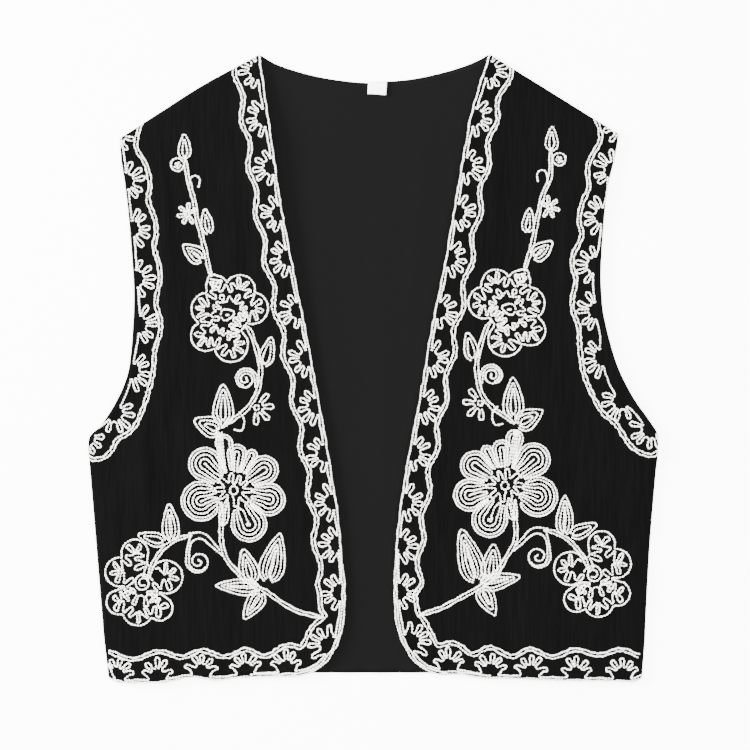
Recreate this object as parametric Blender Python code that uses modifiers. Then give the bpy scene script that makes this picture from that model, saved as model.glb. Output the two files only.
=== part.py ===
"""Embroidered vest laid flat: a back, two fronts and a neck label of thin cloth, with
the main lines of the white chain stitch as low braids on the fronts.

Sizes are in millimetres. A place on the vest has two numbers: out, the distance from
the centre line, and down, the distance below the points where shoulder and neck meet.
"""
import math

import bmesh
import bpy
from mathutils import Vector
from mathutils.bvhtree import BVHTree

# Units and layers, in millimetres
MM = 0.001
LENGTH = 503.6
CLOTH = 1.2
GAP = 0.3
FRONT_FLOOR = CLOTH + GAP
PROBE_HEIGHT = 50.0

# The grid of a front: rows below and above the underarm, and cells across
SIDE_ROWS = 12
ARMHOLE_ROWS = 18
CELLS_ACROSS = 13

# The braids: width and height of a single and of a double line of stitches
SINGLE = 1.8
DOUBLE = 3.2
BRAID_HEIGHT = 1.1
CREST_SHARE = 0.5
LINE_STEP = 9.0
WAVE_STEP = 6.3
MOTIF_STEP = 4.6
SMALL_STEP = 3.4
PAD_HEIGHT = 0.9

# The border of the front: waved line in from the edge, one wave for each half sun
BORDER_INSET = 20.2
BORDER_SWING = 2.2
BORDER_PITCH = 38.1
BORDER_FIRST_CREST = 13.0
BORDER_LAST = 425.0
EDGE_INSET = 1.9

# The label inside the back neck
LABEL_WIDTH = 14.8
LABEL_HEIGHT = 10.4
LABEL_THICK = 0.8
LABEL_PLACE = (3.4, 27.4)
LABEL_TURN = -4.0

# The back lies a little inside the fronts, and its neck dips between the neck points
BACK_INSET = 0.9
BACK_STEP = 11.0
BACK_NECK = (
    # right of the centre line, down
    (-77.5, 7.4), (-58.5, 13.8), (-39.0, 18.4), (-16.0, 21.6),
    (5.0, 21.6), (28.0, 19.8), (50.0, 15.6), (70.0, 10.0), (84.0, 4.4),
)
BACK_HEM_DOWN = 495.6

# Outlines of the two fronts, each a row of places (out, down)
OUTLINES = {
    "left": {
        "armhole": (
            (228.0, 315.6), (226.4, 306.0), (216.8, 296.4), (204.8, 277.2),
            (196.8, 258.0), (193.6, 238.8), (191.6, 210.0), (191.2, 190.8),
            (192.2, 171.6), (195.2, 133.2), (198.4, 104.4), (201.4, 85.2), (202.4, 67.6),
        ),
        "side": ((211.4, 500.0), (215.2, 469.2), (216.8, 450.0), (221.6, 392.4),
                 (226.4, 334.8), (228.0, 315.6)),
        "shoulder": ((202.4, 67.6), (169.6, 46.4), (135.2, 24.6), (90.4, 0.4)),
        "front": (
            (37.6, 488.4), (29.6, 475.6), (24.8, 462.8), (22.4, 443.0), (22.6, 420.0),
            (24.8, 398.8), (26.8, 373.2), (32.8, 334.8), (39.2, 296.4), (46.4, 258.0),
            (53.6, 219.6), (64.0, 168.4), (73.6, 117.2), (80.8, 66.0), (84.8, 40.4),
            (90.4, 0.4),
        ),
        "hem": (
            (211.4, 500.0), (202.0, 503.4), (181.0, 503.6), (164.0, 503.0), (145.0, 499.2),
            (125.6, 501.6), (106.4, 499.6), (77.6, 498.8), (58.4, 498.0), (46.5, 494.2),
            (37.6, 488.4),
        ),
    },
    "right": {
        "armhole": (
            (227.6, 325.2), (228.0, 306.0), (222.6, 295.6), (209.6, 277.2),
            (199.2, 258.0), (192.0, 238.8), (184.8, 210.0), (182.8, 190.8),
            (182.4, 171.6), (184.8, 133.2), (188.4, 104.4), (193.0, 85.2), (196.8, 64.4),
        ),
        "side": ((215.2, 500.0), (217.6, 469.2), (218.4, 450.0), (221.6, 392.4),
                 (226.0, 340.0), (227.6, 325.2)),
        "shoulder": ((196.8, 64.4), (166.4, 45.6), (133.6, 25.2), (92.8, 0.0)),
        "front": (
            (33.6, 488.4), (25.6, 475.6), (20.0, 462.8), (17.4, 446.0), (16.8, 424.4),
            (17.6, 398.8), (20.0, 373.2), (25.6, 334.8), (32.8, 296.4), (40.0, 258.0),
            (46.4, 219.6), (56.8, 168.4), (65.6, 117.2), (74.4, 66.0), (80.0, 40.4),
            (92.8, 0.0),
        ),
        "hem": (
            (215.2, 500.0), (208.0, 502.8), (191.0, 502.2), (162.4, 502.0), (133.6, 501.2),
            (114.4, 500.4), (85.6, 499.6), (69.0, 496.8), (53.6, 497.2), (43.0, 493.8),
            (33.6, 488.4),
        ),
    },
}

# Soft folds of each front: across and up run from 0 to 1, from the side seam to the
# front edge and from the hem to the shoulder
FOLDS = {
    "left": (
        # across at hem, across at shoulder, rise, half width, from up, to up
        (0.17, 0.30, 0.9, 0.15, -0.40, 0.90),
        (0.44, 0.46, 0.8, 0.13, -0.40, 0.72),
        (0.64, 0.66, 1.0, 0.15, 0.10, 1.00),
        (0.84, 0.78, 0.7, 0.12, -0.40, 0.60),
        (0.26, 0.20, 0.8, 0.14, 0.48, 1.02),
    ),
    "right": (
        (0.20, 0.24, 0.8, 0.16, -0.40, 0.80),
        (0.40, 0.50, 1.0, 0.15, -0.40, 0.96),
        (0.67, 0.70, 0.8, 0.13, -0.40, 0.66),
        (0.80, 0.76, 0.7, 0.13, 0.35, 1.00),
        (0.18, 0.22, 0.6, 0.13, 0.60, 1.00),
    ),
}

# How far the free front edge stands off the back
EDGE_RISE = {
    "left": ((0.0, 0.4), (0.25, 0.5), (0.5, 0.8), (0.72, 1.6), (0.86, 2.0), (1.0, 0.0)),
    "right": ((0.0, 0.5), (0.25, 0.4), (0.5, 0.7), (0.72, 1.0), (0.86, 1.3), (1.0, 0.0)),
}
EDGE_RISE_REACH = 0.32

# The lower end of the waved border: round the front corner and along the hem
BORDER_FOOT = {
    "left": (
        (42.5, 433.0), (42.3, 440.0), (41.0, 446.0), (38.4, 450.0), (44.0, 454.4),
        (49.5, 459.8), (53.0, 467.0), (57.5, 474.6), (65.0, 473.5), (72.0, 474.4),
        (86.4, 482.4), (101.6, 477.0), (118.4, 482.8), (136.4, 477.6), (153.6, 483.2),
        (171.2, 478.4), (191.6, 484.6), (210.5, 479.0),
    ),
    "right": (
        (33.6, 433.0), (34.6, 440.0), (36.0, 447.0), (38.6, 450.6), (42.4, 456.0),
        (47.0, 464.6), (52.0, 473.2), (61.6, 471.6), (69.6, 473.6), (79.6, 480.8),
        (93.6, 475.2), (111.2, 482.4), (125.6, 476.4), (143.6, 482.8), (161.6, 477.0),
        (180.4, 481.2), (198.0, 477.0), (212.0, 481.6),
    ),
}

# The waved line of the armhole border, from the shoulder to the underarm
ARMHOLE_BORDER = {
    "left": (
        (187.4, 61.0), (189.4, 75.2), (181.6, 89.2), (178.4, 105.2), (180.0, 117.2),
        (174.4, 133.2), (173.6, 145.2), (175.2, 154.8), (171.2, 169.2), (170.4, 181.2),
        (173.6, 198.8), (170.0, 213.2), (170.4, 224.0), (174.4, 237.2), (176.0, 254.8),
        (181.6, 277.2), (187.2, 292.0), (193.6, 302.0), (204.4, 309.2), (209.0, 317.6),
        (216.0, 323.6), (223.6, 324.8),
    ),
    "right": (
        (180.8, 58.6), (182.0, 69.2), (174.4, 83.2), (171.6, 93.2), (172.6, 107.2),
        (167.6, 119.2), (164.8, 133.2), (167.0, 146.0), (160.4, 160.4), (159.6, 171.2),
        (162.4, 181.2), (159.6, 195.2), (160.0, 206.0), (164.6, 219.2), (165.6, 236.0),
        (168.4, 255.2), (175.6, 273.2), (183.6, 287.2), (194.8, 297.2), (205.6, 313.2),
        (214.0, 319.2), (223.0, 321.6),
    ),
}

# Stems, each a route of places (out, down)
STEMS = {
    "left": {
        "stem_upper": ((150.0, 87.5), (148.6, 97.0), (146.2, 107.0), (143.0, 119.0),
                       (140.4, 134.0), (136.6, 148.0), (133.6, 161.0), (131.2, 171.0)),
        "stem_middle": ((98.4, 226.0), (93.0, 237.0), (89.8, 253.0), (92.6, 271.0),
                        (101.0, 284.5), (111.0, 292.0), (120.0, 298.6)),
        "stem_lower": ((121.6, 376.0), (121.0, 391.0), (118.4, 405.0), (106.5, 419.6),
                       (96.0, 425.6), (85.5, 430.5), (72.0, 441.4), (59.0, 447.4), (49.5, 450.4)),
        "stem_arch": ((126.5, 392.6), (134.0, 386.2), (145.0, 383.0), (156.0, 388.6),
                      (165.6, 394.4), (170.8, 399.6)),
    },
    "right": {
        "stem_upper": ((142.4, 81.0), (141.8, 98.0), (136.6, 111.5), (132.0, 129.0),
                       (128.4, 148.0), (125.0, 161.0), (120.0, 169.6)),
        "stem_middle": ((90.6, 224.0), (84.6, 239.0), (83.0, 254.0), (86.6, 271.5),
                        (96.0, 283.6), (105.0, 289.6), (112.6, 295.6)),
        "stem_lower": ((114.0, 374.0), (114.0, 389.0), (107.0, 404.0), (99.0, 417.0),
                       (90.0, 424.6), (80.0, 431.0), (65.0, 439.2), (54.0, 444.6), (45.4, 448.4)),
        "stem_arch": ((119.0, 390.4), (126.0, 383.2), (134.5, 379.0), (144.0, 382.4),
                      (154.0, 388.6), (162.4, 395.4)),
    },
}

# Leaves: width, then base and tip (out, down) on the left and on the right front
LEAVES = (
    ("leaf_top", 9.6, (150.6, 83.0), (151.0, 64.5), (142.8, 76.6), (143.4, 59.0)),
    ("leaf_slim", 9.0, (132.4, 142.0), (133.4, 124.4), (124.8, 141.0), (123.6, 124.0)),
    ("leaf_round", 13.0, (139.2, 163.0), (152.0, 153.0), (130.8, 161.4), (143.6, 150.6)),
    ("leaf_middle", 10.8, (86.0, 245.6), (81.2, 226.8), (79.4, 241.0), (75.4, 223.0)),
    ("leaf_upright", 15.6, (119.8, 290.6), (119.8, 264.6), (112.4, 286.0), (112.0, 259.4)),
    ("leaf_side", 15.6, (127.0, 299.4), (143.0, 293.0), (120.4, 295.4), (135.4, 285.6)),
    ("leaf_low_upright", 12.8, (161.6, 385.4), (162.8, 360.8), (153.2, 381.6), (153.8, 354.2)),
    ("leaf_low_side", 8.6, (169.2, 389.4), (183.0, 382.4), (160.6, 385.6), (174.0, 376.8)),
    ("leaf_inner", 14.4, (87.0, 420.4), (73.2, 385.4), (80.2, 418.0), (69.2, 380.4)),
    ("leaf_outer", 13.2, (98.8, 416.2), (103.8, 397.6), (92.4, 413.6), (97.4, 392.6)),
    ("leaf_hip", 11.0, (104.0, 428.4), (124.4, 428.6), (98.4, 426.4), (118.6, 421.4)),
    ("leaf_under", 13.0, (93.0, 432.6), (102.8, 451.4), (85.8, 433.4), (96.0, 450.4)),
)
LEAF_OPENING = 0.82
LEAF_POINTS = 13

# Flowers: width of the line, centre on the left and on the right front, petals
FLOWERS = (
    ("flower_upper", SINGLE, (116.0, 209.2), (108.2, 204.8), (
        # out and down from the centre, radius
        (0.0, 0.0, 16.0), (-9.6, -20.0, 12.0), (-19.2, -5.6, 12.8), (-2.4, 24.0, 13.6),
        (17.6, 16.8, 12.0), (16.0, -4.8, 13.2), (8.8, -22.4, 8.8))),
    ("flower_big", DOUBLE, (111.4, 349.2), (105.6, 345.6), (
        (0.0, 0.0, 17.0), (21.2, -19.8, 12.6), (24.2, 8.4, 15.4), (-12.2, 25.8, 13.8),
        (-27.4, 7.2, 12.6), (-23.6, -15.2, 11.4), (-14.0, -26.4, 4.4), (-3.0, -27.4, 7.6),
        (6.8, -35.8, 6.8))),
    ("flower_low", SINGLE, (184.0, 423.6), (176.4, 416.8), (
        (0.0, 0.0, 15.0),
        (6.4, -24.0, 10.8), (18.4, -8.8, 11.6), (19.2, 15.2, 10.0),
        (4.0, 21.6, 12.4), (-13.6, 20.0, 10.0), (-18.4, -4.8, 13.2))),
)
FLOWER_RAYS = 180
FLOWER_MOUTH = 3.0

# Spirals: centre and outer radius, angle of the outer end, left and right front
SPIRALS = (
    ("spiral_middle", 8.6, 40.0, (103.0, 262.2), (96.6, 259.2)),
    ("spiral_low", 9.4, 100.0, (139.0, 405.6), (131.6, 401.4)),
)
SPIRAL_TURNS = 1.9
SPIRAL_HEART = 1.6

# Daisies as low pads: petals, reach, centre on the left and on the right front
DAISIES = (
    ("daisy_small", 6, 6.6, (151.6, 127.8), (144.4, 122.8)),
    ("daisy_half", 5, 6.4, (86.0, 284.6), (79.6, 281.4)),
)
DAISY_HEART_SHARE = 0.45
DAISY_POINTS_PER_PETAL = 6

# Colours, as linear values
BLACK_CLOTH = (0.0123, 0.0130, 0.0130, 1.0)
BLACK_INSIDE = (0.0185, 0.0185, 0.0185, 1.0)
CREAM_THREAD = (0.91, 0.89, 0.83, 1.0)
WHITE_TAPE = (0.88, 0.88, 0.88, 1.0)


def clear_scene():
    for item in list(bpy.data.objects):
        bpy.data.objects.remove(item, do_unlink=True)


def finish_material(name, colour, roughness):
    material = bpy.data.materials.new(name)
    material.use_nodes = True
    shader = material.node_tree.nodes["Principled BSDF"]
    shader.inputs["Base Color"].default_value = colour
    shader.inputs["Roughness"].default_value = roughness
    shader.inputs["Metallic"].default_value = 0.0
    return material


def place(side, spot):
    """Turn (out, down) on the left or right front into x and y."""
    out, down = spot
    sign = -1.0 if side == "left" else 1.0
    return (sign * out, LENGTH / 2 - down)


def smooth(points, steps=10):
    """A smooth curve through the points, as a close row of points."""
    row = [Vector(point) for point in points]
    padded = [2 * row[0] - row[1]] + row + [2 * row[-1] - row[-2]]
    curve = []
    for index in range(1, len(padded) - 2):
        before, start, end, after = padded[index - 1:index + 3]
        for step in range(steps):
            t = step / steps
            curve.append(0.5 * (2 * start + (end - before) * t
                                + (2 * before - 5 * start + 4 * end - after) * t ** 2
                                + (3 * start - before - 3 * end + after) * t ** 3))
    curve.append(row[-1])
    return curve


def even(points, count):
    """The same curve as count equal steps."""
    row = [Vector(point) for point in points]
    reach = [0.0]
    for start, end in zip(row, row[1:]):
        reach.append(reach[-1] + (end - start).length)
    result = []
    index = 0
    for step in range(count + 1):
        goal = reach[-1] * step / count
        while index < len(row) - 2 and reach[index + 1] < goal:
            index += 1
        span = max(reach[index + 1] - reach[index], 1e-9)
        result.append(row[index].lerp(row[index + 1], (goal - reach[index]) / span))
    return result


def even_steps(points, step):
    """The same curve with points about one step apart."""
    row = [Vector(point) for point in points]
    total = sum((end - start).length for start, end in zip(row, row[1:]))
    return even(row, max(2, round(total / step)))


def along(table, value):
    """Read a short table of (value, result) rows, with straight runs between them."""
    for (low, start), (high, end) in zip(table, table[1:]):
        if value <= high:
            return start + (end - start) * (value - low) / (high - low)
    return table[-1][1]


def soft_step(value):
    value = min(max(value, 0.0), 1.0)
    return value * value * (3 - 2 * value)


def lift(side, across, up):
    """How far a front stands off the back at a place on its own grid."""
    height = 0.0
    for at_hem, at_shoulder, rise, half_width, low, high in FOLDS[side]:
        centre = at_hem + (at_shoulder - at_hem) * up
        offset = abs(across - centre) / half_width
        if offset < 1.0 and low < up < high:
            ends = math.sin(math.pi * (up - low) / (high - low))
            height += rise * ends * math.cos(offset * math.pi / 2) ** 2
    reach = soft_step((across - 1 + EDGE_RISE_REACH) / EDGE_RISE_REACH)
    return height + along(EDGE_RISE[side], up) * reach


def front_grid(side):
    """Rows of points between side seam and front edge, blended from all four edges."""
    outline = OUTLINES[side]
    rows = SIDE_ROWS + ARMHOLE_ROWS
    seam = even(smooth(outline["side"]), SIDE_ROWS)
    armhole = even(smooth(outline["armhole"]), ARMHOLE_ROWS)
    outer = seam + armhole[1:]
    inner = even(smooth(outline["front"]), rows)
    hem = even(smooth(outline["hem"]), CELLS_ACROSS)
    shoulder = even(smooth(outline["shoulder"]), CELLS_ACROSS)
    grid = []
    for row in range(rows + 1):
        up = row / rows
        line = []
        for cell in range(CELLS_ACROSS + 1):
            across = cell / CELLS_ACROSS
            sides = outer[row].lerp(inner[row], across)
            ends = hem[cell].lerp(shoulder[cell], up)
            low_corners = hem[0].lerp(hem[-1], across)
            high_corners = shoulder[0].lerp(shoulder[-1], across)
            spot = sides + ends - low_corners.lerp(high_corners, up)
            x, y = place(side, spot)
            line.append((x, y, FRONT_FLOOR + lift(side, across, up)))
        grid.append(line)
    return grid


def add_object(name, mesh, material, group):
    mesh.materials.append(material)
    item = bpy.data.objects.new(name, mesh)
    group.objects.link(item)
    return item


def front_panel(side, material, group):
    """One front: an open sheet from its grid, given its thickness upwards."""
    grid = front_grid(side)
    sheet = bmesh.new()
    points = [[sheet.verts.new([value * MM for value in spot]) for spot in line] for line in grid]
    for low, high in zip(points, points[1:]):
        for cell in range(CELLS_ACROSS):
            corners = [low[cell], low[cell + 1], high[cell + 1], high[cell]]
            sheet.faces.new(corners if side == "left" else corners[::-1])
    mesh = bpy.data.meshes.new("front_" + side)
    sheet.to_mesh(mesh)
    sheet.free()
    mesh.shade_smooth()
    item = add_object("front_" + side, mesh, material, group)
    wall = item.modifiers.new("cloth", "SOLIDIFY")
    wall.thickness = CLOTH * MM
    wall.offset = 1.0
    return item


def half_back(side):
    """The back's edge on one side, from the hem up to the neck point."""
    outline = OUTLINES[side]
    edge = []
    for name in ("side", "armhole", "shoulder"):
        edge += even_steps(smooth(outline[name]), BACK_STEP)[:-1]
    edge.append(Vector(outline["shoulder"][-1]))
    row = []
    for out, down in edge:
        row.append(place(side, (out - BACK_INSET, min(down + BACK_INSET, BACK_HEM_DOWN))))
    return row


def back_panel(material, group):
    """The back: a flat outline with the thickness of the cloth."""
    right = half_back("right")
    left = half_back("left")
    neck_curve = [(x, LENGTH / 2 - down - BACK_INSET) for x, down in BACK_NECK]
    neck = even_steps(smooth([left[-1]] + neck_curve + [right[-1]]), BACK_STEP)
    outline = right + [tuple(spot) for spot in reversed(neck[1:-1])] + left[::-1]
    curve = bpy.data.curves.new("back_panel", "CURVE")
    curve.dimensions = "2D"
    curve.fill_mode = "BOTH"
    curve.extrude = CLOTH / 2 * MM
    spline = curve.splines.new("POLY")
    spline.points.add(len(outline) - 1)
    for point, (x, y) in zip(spline.points, outline):
        point.co = (x * MM, y * MM, 0.0, 1.0)
    spline.use_cyclic_u = True
    item = add_object("back_panel", curve, material, group)
    item.location.z = CLOTH / 2 * MM
    return item


def neck_label(material, group):
    """The bare label, turned a little, on the inside of the back."""
    bpy.ops.mesh.primitive_cube_add(size=1.0)
    item = bpy.context.object
    item.name = "neck_label"
    item.scale = (LABEL_WIDTH * MM, LABEL_HEIGHT * MM, LABEL_THICK * MM)
    bpy.ops.object.transform_apply(location=False, rotation=False, scale=True)
    x, down = LABEL_PLACE
    item.location = (x * MM, (LENGTH / 2 - down) * MM, (FRONT_FLOOR + LABEL_THICK / 2) * MM)
    item.rotation_euler.z = math.radians(LABEL_TURN)
    item.data.materials.append(material)
    for holder in list(item.users_collection):
        holder.objects.unlink(item)
    group.objects.link(item)
    return item


def surface_finder(item):
    """A function that gives the height of an object's top at x and y."""
    bpy.context.view_layer.update()
    tree = BVHTree.FromObject(item, bpy.context.evaluated_depsgraph_get())

    def height(x, y):
        start = Vector((x * MM, y * MM, PROBE_HEIGHT * MM))
        hit = tree.ray_cast(start, Vector((0.0, 0.0, -1.0)))[0]
        return None if hit is None else hit.z / MM

    return height


def seat(height, spot, neighbours):
    """The height that clears the cloth at a spot and half way to its neighbours."""
    found = [height(spot.x, spot.y)]
    for other in neighbours:
        middle = (spot + other) / 2
        found.append(height(middle.x, middle.y))
    return max(value for value in found if value is not None) + GAP


def braid(name, route, width, material, group, height):
    """A low four sided braid along a route, seated on the cloth under its two feet."""
    spots = [Vector(spot) for spot in route]
    feet = []
    for index, spot in enumerate(spots):
        before = spots[max(index - 1, 0)]
        after = spots[min(index + 1, len(spots) - 1)]
        run = (after - before).normalized()
        side_way = Vector((-run.y, run.x)) * (width / 2)
        feet.append((spot + side_way, spot - side_way, spot))
    shape = bmesh.new()
    rings = []
    for index, (left_foot, right_foot, spot) in enumerate(feet):
        near = [feet[max(index - 1, 0)], feet[min(index + 1, len(feet) - 1)]]
        left_z = seat(height, left_foot, [ring[0] for ring in near] + [spot])
        right_z = seat(height, right_foot, [ring[1] for ring in near] + [spot])
        base = [(left_foot, left_z), (right_foot, right_z)]
        crest = [(spot.lerp(foot, CREST_SHARE), z + BRAID_HEIGHT) for foot, z in base]
        corners = [base[0], base[1], crest[1], crest[0]]
        rings.append([shape.verts.new((p.x * MM, p.y * MM, z * MM)) for p, z in corners])
    for start, end in zip(rings, rings[1:]):
        for corner in range(4):
            other = (corner + 1) % 4
            shape.faces.new((start[corner], start[other], end[other], end[corner]))
    shape.faces.new(rings[0][::-1])
    shape.faces.new(rings[-1])
    bmesh.ops.recalc_face_normals(shape, faces=shape.faces)
    mesh = bpy.data.meshes.new(name)
    shape.to_mesh(mesh)
    shape.free()
    return add_object(name, mesh, material, group)


def pad(name, centre, outline, material, group, height):
    """A low pad: an outline round a centre, seated on the cloth."""
    middle = Vector(centre)
    rim = [Vector(spot) for spot in outline]
    shape = bmesh.new()
    layers = []
    for rise in (0.0, PAD_HEIGHT):
        ring = []
        for spot in rim + [middle]:
            z = seat(height, spot, [middle] if spot is not middle else []) + rise
            ring.append(shape.verts.new((spot.x * MM, spot.y * MM, z * MM)))
        layers.append(ring)
    count = len(rim)
    for index in range(count):
        other = (index + 1) % count
        low, high = layers
        shape.faces.new((low[index], low[other], high[other], high[index]))
        shape.faces.new((high[index], high[other], high[count]))
        shape.faces.new((low[other], low[index], low[count]))
    bmesh.ops.recalc_face_normals(shape, faces=shape.faces)
    mesh = bpy.data.meshes.new(name)
    shape.to_mesh(mesh)
    shape.free()
    return add_object(name, mesh, material, group)


def inset_curve(points, side_sign, inset):
    """A curve moved sideways by a set distance, or by one that changes along it."""
    row = [Vector(point) for point in points]
    moved = []
    run = 0.0
    for index, spot in enumerate(row):
        before = row[max(index - 1, 0)]
        after = row[min(index + 1, len(row) - 1)]
        heading = (after - before).normalized()
        way = Vector((-heading.y, heading.x)) * side_sign
        if index:
            run += (spot - row[index - 1]).length
        moved.append(spot + way * (inset(run) if callable(inset) else inset))
    return moved


def wave(first_crest, pitch, middle, swing):
    """Distance in from an edge: furthest at each crest."""
    return lambda run: middle + swing * math.cos(2 * math.pi * (run - first_crest) / pitch)


def edge_routes(side):
    """Routes of the four lines that follow the edges of one front, as (out, down)."""
    outline = OUTLINES[side]
    front_down = smooth(outline["front"])[::-1]
    whole_edge = even_steps(front_down + smooth(outline["hem"])[::-1][1:], LINE_STEP)
    edge = inset_curve(whole_edge, -1, EDGE_INSET)[:-1]
    fine = even_steps(front_down, 2.0)
    waved = inset_curve(fine, -1, wave(BORDER_FIRST_CREST, BORDER_PITCH, BORDER_INSET, BORDER_SWING))
    waved = [spot for spot in waved if BORDER_FIRST_CREST < spot.y < BORDER_LAST]
    border = even_steps(waved + smooth(BORDER_FOOT[side]), WAVE_STEP)
    arm_down = smooth(outline["armhole"])[::-1]
    arm_edge = inset_curve(even_steps(arm_down, LINE_STEP), 1, EDGE_INSET)[1:-1]
    arm_border = even_steps(smooth(ARMHOLE_BORDER[side]), WAVE_STEP)
    return {
        "edge_line": (edge, DOUBLE),
        "border_line": (border, DOUBLE),
        "armhole_line": (arm_edge, SINGLE),
        "armhole_border_line": (arm_border, DOUBLE),
    }


def leaf_route(base, tip, width):
    """An open loop from the base of a leaf round its tip and back."""
    start = Vector(base)
    reach = Vector(tip) - start
    length = reach.length
    heading = reach / length
    way = Vector((-heading.y, heading.x))
    route = []
    for index in range(LEAF_POINTS):
        angle = math.pi * LEAF_OPENING * (2 * index / (LEAF_POINTS - 1) - 1)
        forward = length * (0.5 + 0.5 * math.cos(angle))
        route.append(start + heading * forward + way * (width / 2 * math.sin(angle)))
    return route


def flower_route(centre, petals, mouth_angle):
    """The outline of all petals together, as the furthest crossing of each ray."""
    route = []
    for ray in range(FLOWER_RAYS + 1):
        angle = mouth_angle + 2 * math.pi * ray / FLOWER_RAYS
        heading = Vector((math.cos(angle), math.sin(angle)))
        reach = 0.0
        for out, down, radius in petals:
            middle = Vector((out, down))
            forward = middle.dot(heading)
            aside = middle.length_squared - forward ** 2
            if aside < radius ** 2:
                reach = max(reach, forward + math.sqrt(radius ** 2 - aside))
        route.append(Vector(centre) + heading * reach)
    line = even_steps(route, 0.5)
    skip = round(FLOWER_MOUTH / 0.5)
    return even_steps(line[skip:-skip], MOTIF_STEP)


def spiral_route(centre, radius, start_angle):
    """A spiral from its outer end to its heart."""
    route = []
    steps = 40
    for step in range(steps + 1):
        share = step / steps
        angle = math.radians(start_angle) + 2 * math.pi * SPIRAL_TURNS * share
        reach = radius + (SPIRAL_HEART - radius) * share
        route.append(Vector(centre) + reach * Vector((-math.cos(angle), math.sin(angle))))
    return even_steps(route, SMALL_STEP)


def daisy_outline(centre, petals, reach):
    """Round petals about a heart."""
    outline = []
    count = petals * DAISY_POINTS_PER_PETAL
    for index in range(count):
        angle = 2 * math.pi * index / count
        swell = abs(math.cos(petals * angle / 2)) ** 0.7
        radius = reach * (DAISY_HEART_SHARE + (1 - DAISY_HEART_SHARE) * swell)
        outline.append(Vector(centre) + radius * Vector((math.cos(angle), math.sin(angle))))
    return outline


def embroider(side, material, group, height):
    """All raised lines of one front."""
    def lay(name, route, width):
        spots = [place(side, spot) for spot in route]
        braid(name + "_" + side, spots, width, material, group, height)

    for name, (route, width) in edge_routes(side).items():
        lay(name, route, width)
    for name, route in STEMS[side].items():
        lay(name, even_steps(smooth(route), MOTIF_STEP + 1), DOUBLE - 0.4)
    for name, width, left_base, left_tip, right_base, right_tip in LEAVES:
        base, tip = (left_base, left_tip) if side == "left" else (right_base, right_tip)
        lay(name, leaf_route(base, tip, width), SINGLE - 0.2)
    for name, width, left_centre, right_centre, petals in FLOWERS:
        centre = left_centre if side == "left" else right_centre
        lay(name, flower_route(centre, petals, -math.pi / 2), width)
    for name, radius, start_angle, left_centre, right_centre in SPIRALS:
        centre = left_centre if side == "left" else right_centre
        lay(name, spiral_route(centre, radius, start_angle), SINGLE - 0.2)
    for name, petals, reach, left_centre, right_centre in DAISIES:
        centre = left_centre if side == "left" else right_centre
        outline = [place(side, spot) for spot in daisy_outline(centre, petals, reach)]
        pad(name + "_" + side, place(side, centre), outline, material, group, height)


def main():
    clear_scene()
    group = bpy.data.collections.new("embroidered_vest")
    bpy.context.scene.collection.children.link(group)
    outside = finish_material("black_crinkle_cotton", BLACK_CLOTH, 0.85)
    inside = finish_material("black_cotton_inside", BLACK_INSIDE, 0.88)
    thread = finish_material("cream_chain_stitch", CREAM_THREAD, 0.7)
    tape = finish_material("white_label_tape", WHITE_TAPE, 0.6)
    back_panel(inside, group)
    neck_label(tape, group)
    for side in ("left", "right"):
        front = front_panel(side, outside, group)
        embroider(side, thread, group, surface_finder(front))


main()
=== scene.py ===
# %% [markdown]
# # Embroidered vest, laid flat
#
# The object is a short sleeveless vest of fine black cotton, open at the front and worked
# with white chain stitch. It lies on its back on a pale table. A maker cuts three pieces,
# the back and two fronts, and joins them at the shoulders and at the sides.
#
# This script makes the picture model. It loads the CAD frame, builds thin cloth over the
# plain solids, and then lays every stitch. Sizes are in millimetres. A place on the vest
# has two numbers: out, the distance from the centre line, and down, the distance below
# the points where shoulder and neck meet. The same tables then serve both fronts.

import math

import bpy
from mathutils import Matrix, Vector
from mathutils.bvhtree import BVHTree
from mathutils.noise import noise_vector, seed_set


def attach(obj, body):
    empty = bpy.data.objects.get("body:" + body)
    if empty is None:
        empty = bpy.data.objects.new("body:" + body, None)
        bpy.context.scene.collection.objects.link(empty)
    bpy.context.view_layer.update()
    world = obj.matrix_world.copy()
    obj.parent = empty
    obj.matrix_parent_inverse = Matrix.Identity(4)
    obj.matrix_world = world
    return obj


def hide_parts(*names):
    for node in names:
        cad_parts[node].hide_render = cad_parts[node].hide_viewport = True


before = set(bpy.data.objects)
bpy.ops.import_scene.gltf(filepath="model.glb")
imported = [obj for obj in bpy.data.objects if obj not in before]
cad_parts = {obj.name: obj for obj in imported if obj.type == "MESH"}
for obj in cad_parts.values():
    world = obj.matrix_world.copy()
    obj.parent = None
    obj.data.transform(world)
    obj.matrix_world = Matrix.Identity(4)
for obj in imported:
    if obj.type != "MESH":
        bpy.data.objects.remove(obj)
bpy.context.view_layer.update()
MM = 0.001
LENGTH = 503.6

# %% [markdown]
# ## Camera, table and light
#
# The camera looks straight down from far away through a long lens, so the outline stays
# free of perspective. The table is a white board that glows a little, so it stays clean
# white in the picture. A soft lamp low at the left rakes over the cloth, because creases
# only show where light comes in low. A soft box above and a bright even sky fill the
# shadows.

# %% Camera, table and light
PICTURE_WIDTH = 600.0
CAMERA_PLACE = (1.6, -5.4)
CLOTH_LEVEL = 3.0
LENS = 100.0
SENSOR = 36.0
LAMPS = (
    # name, place in metres, size in metres, power in watts
    ("window left", (-2.5, 0.7, 0.66), 0.7, 570.0),
    ("soft box above", (0.3, 0.2, 3.0), 2.4, 342.0),
)
SKY_STRENGTH = 3.35
# The table is wide enough to fill every view, and it lies just below the cloth
TABLE_HALF = 3.0
TABLE_LEVEL = -0.0002

scene = bpy.context.scene


def link(item):
    scene.collection.objects.link(item)
    return item


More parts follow.
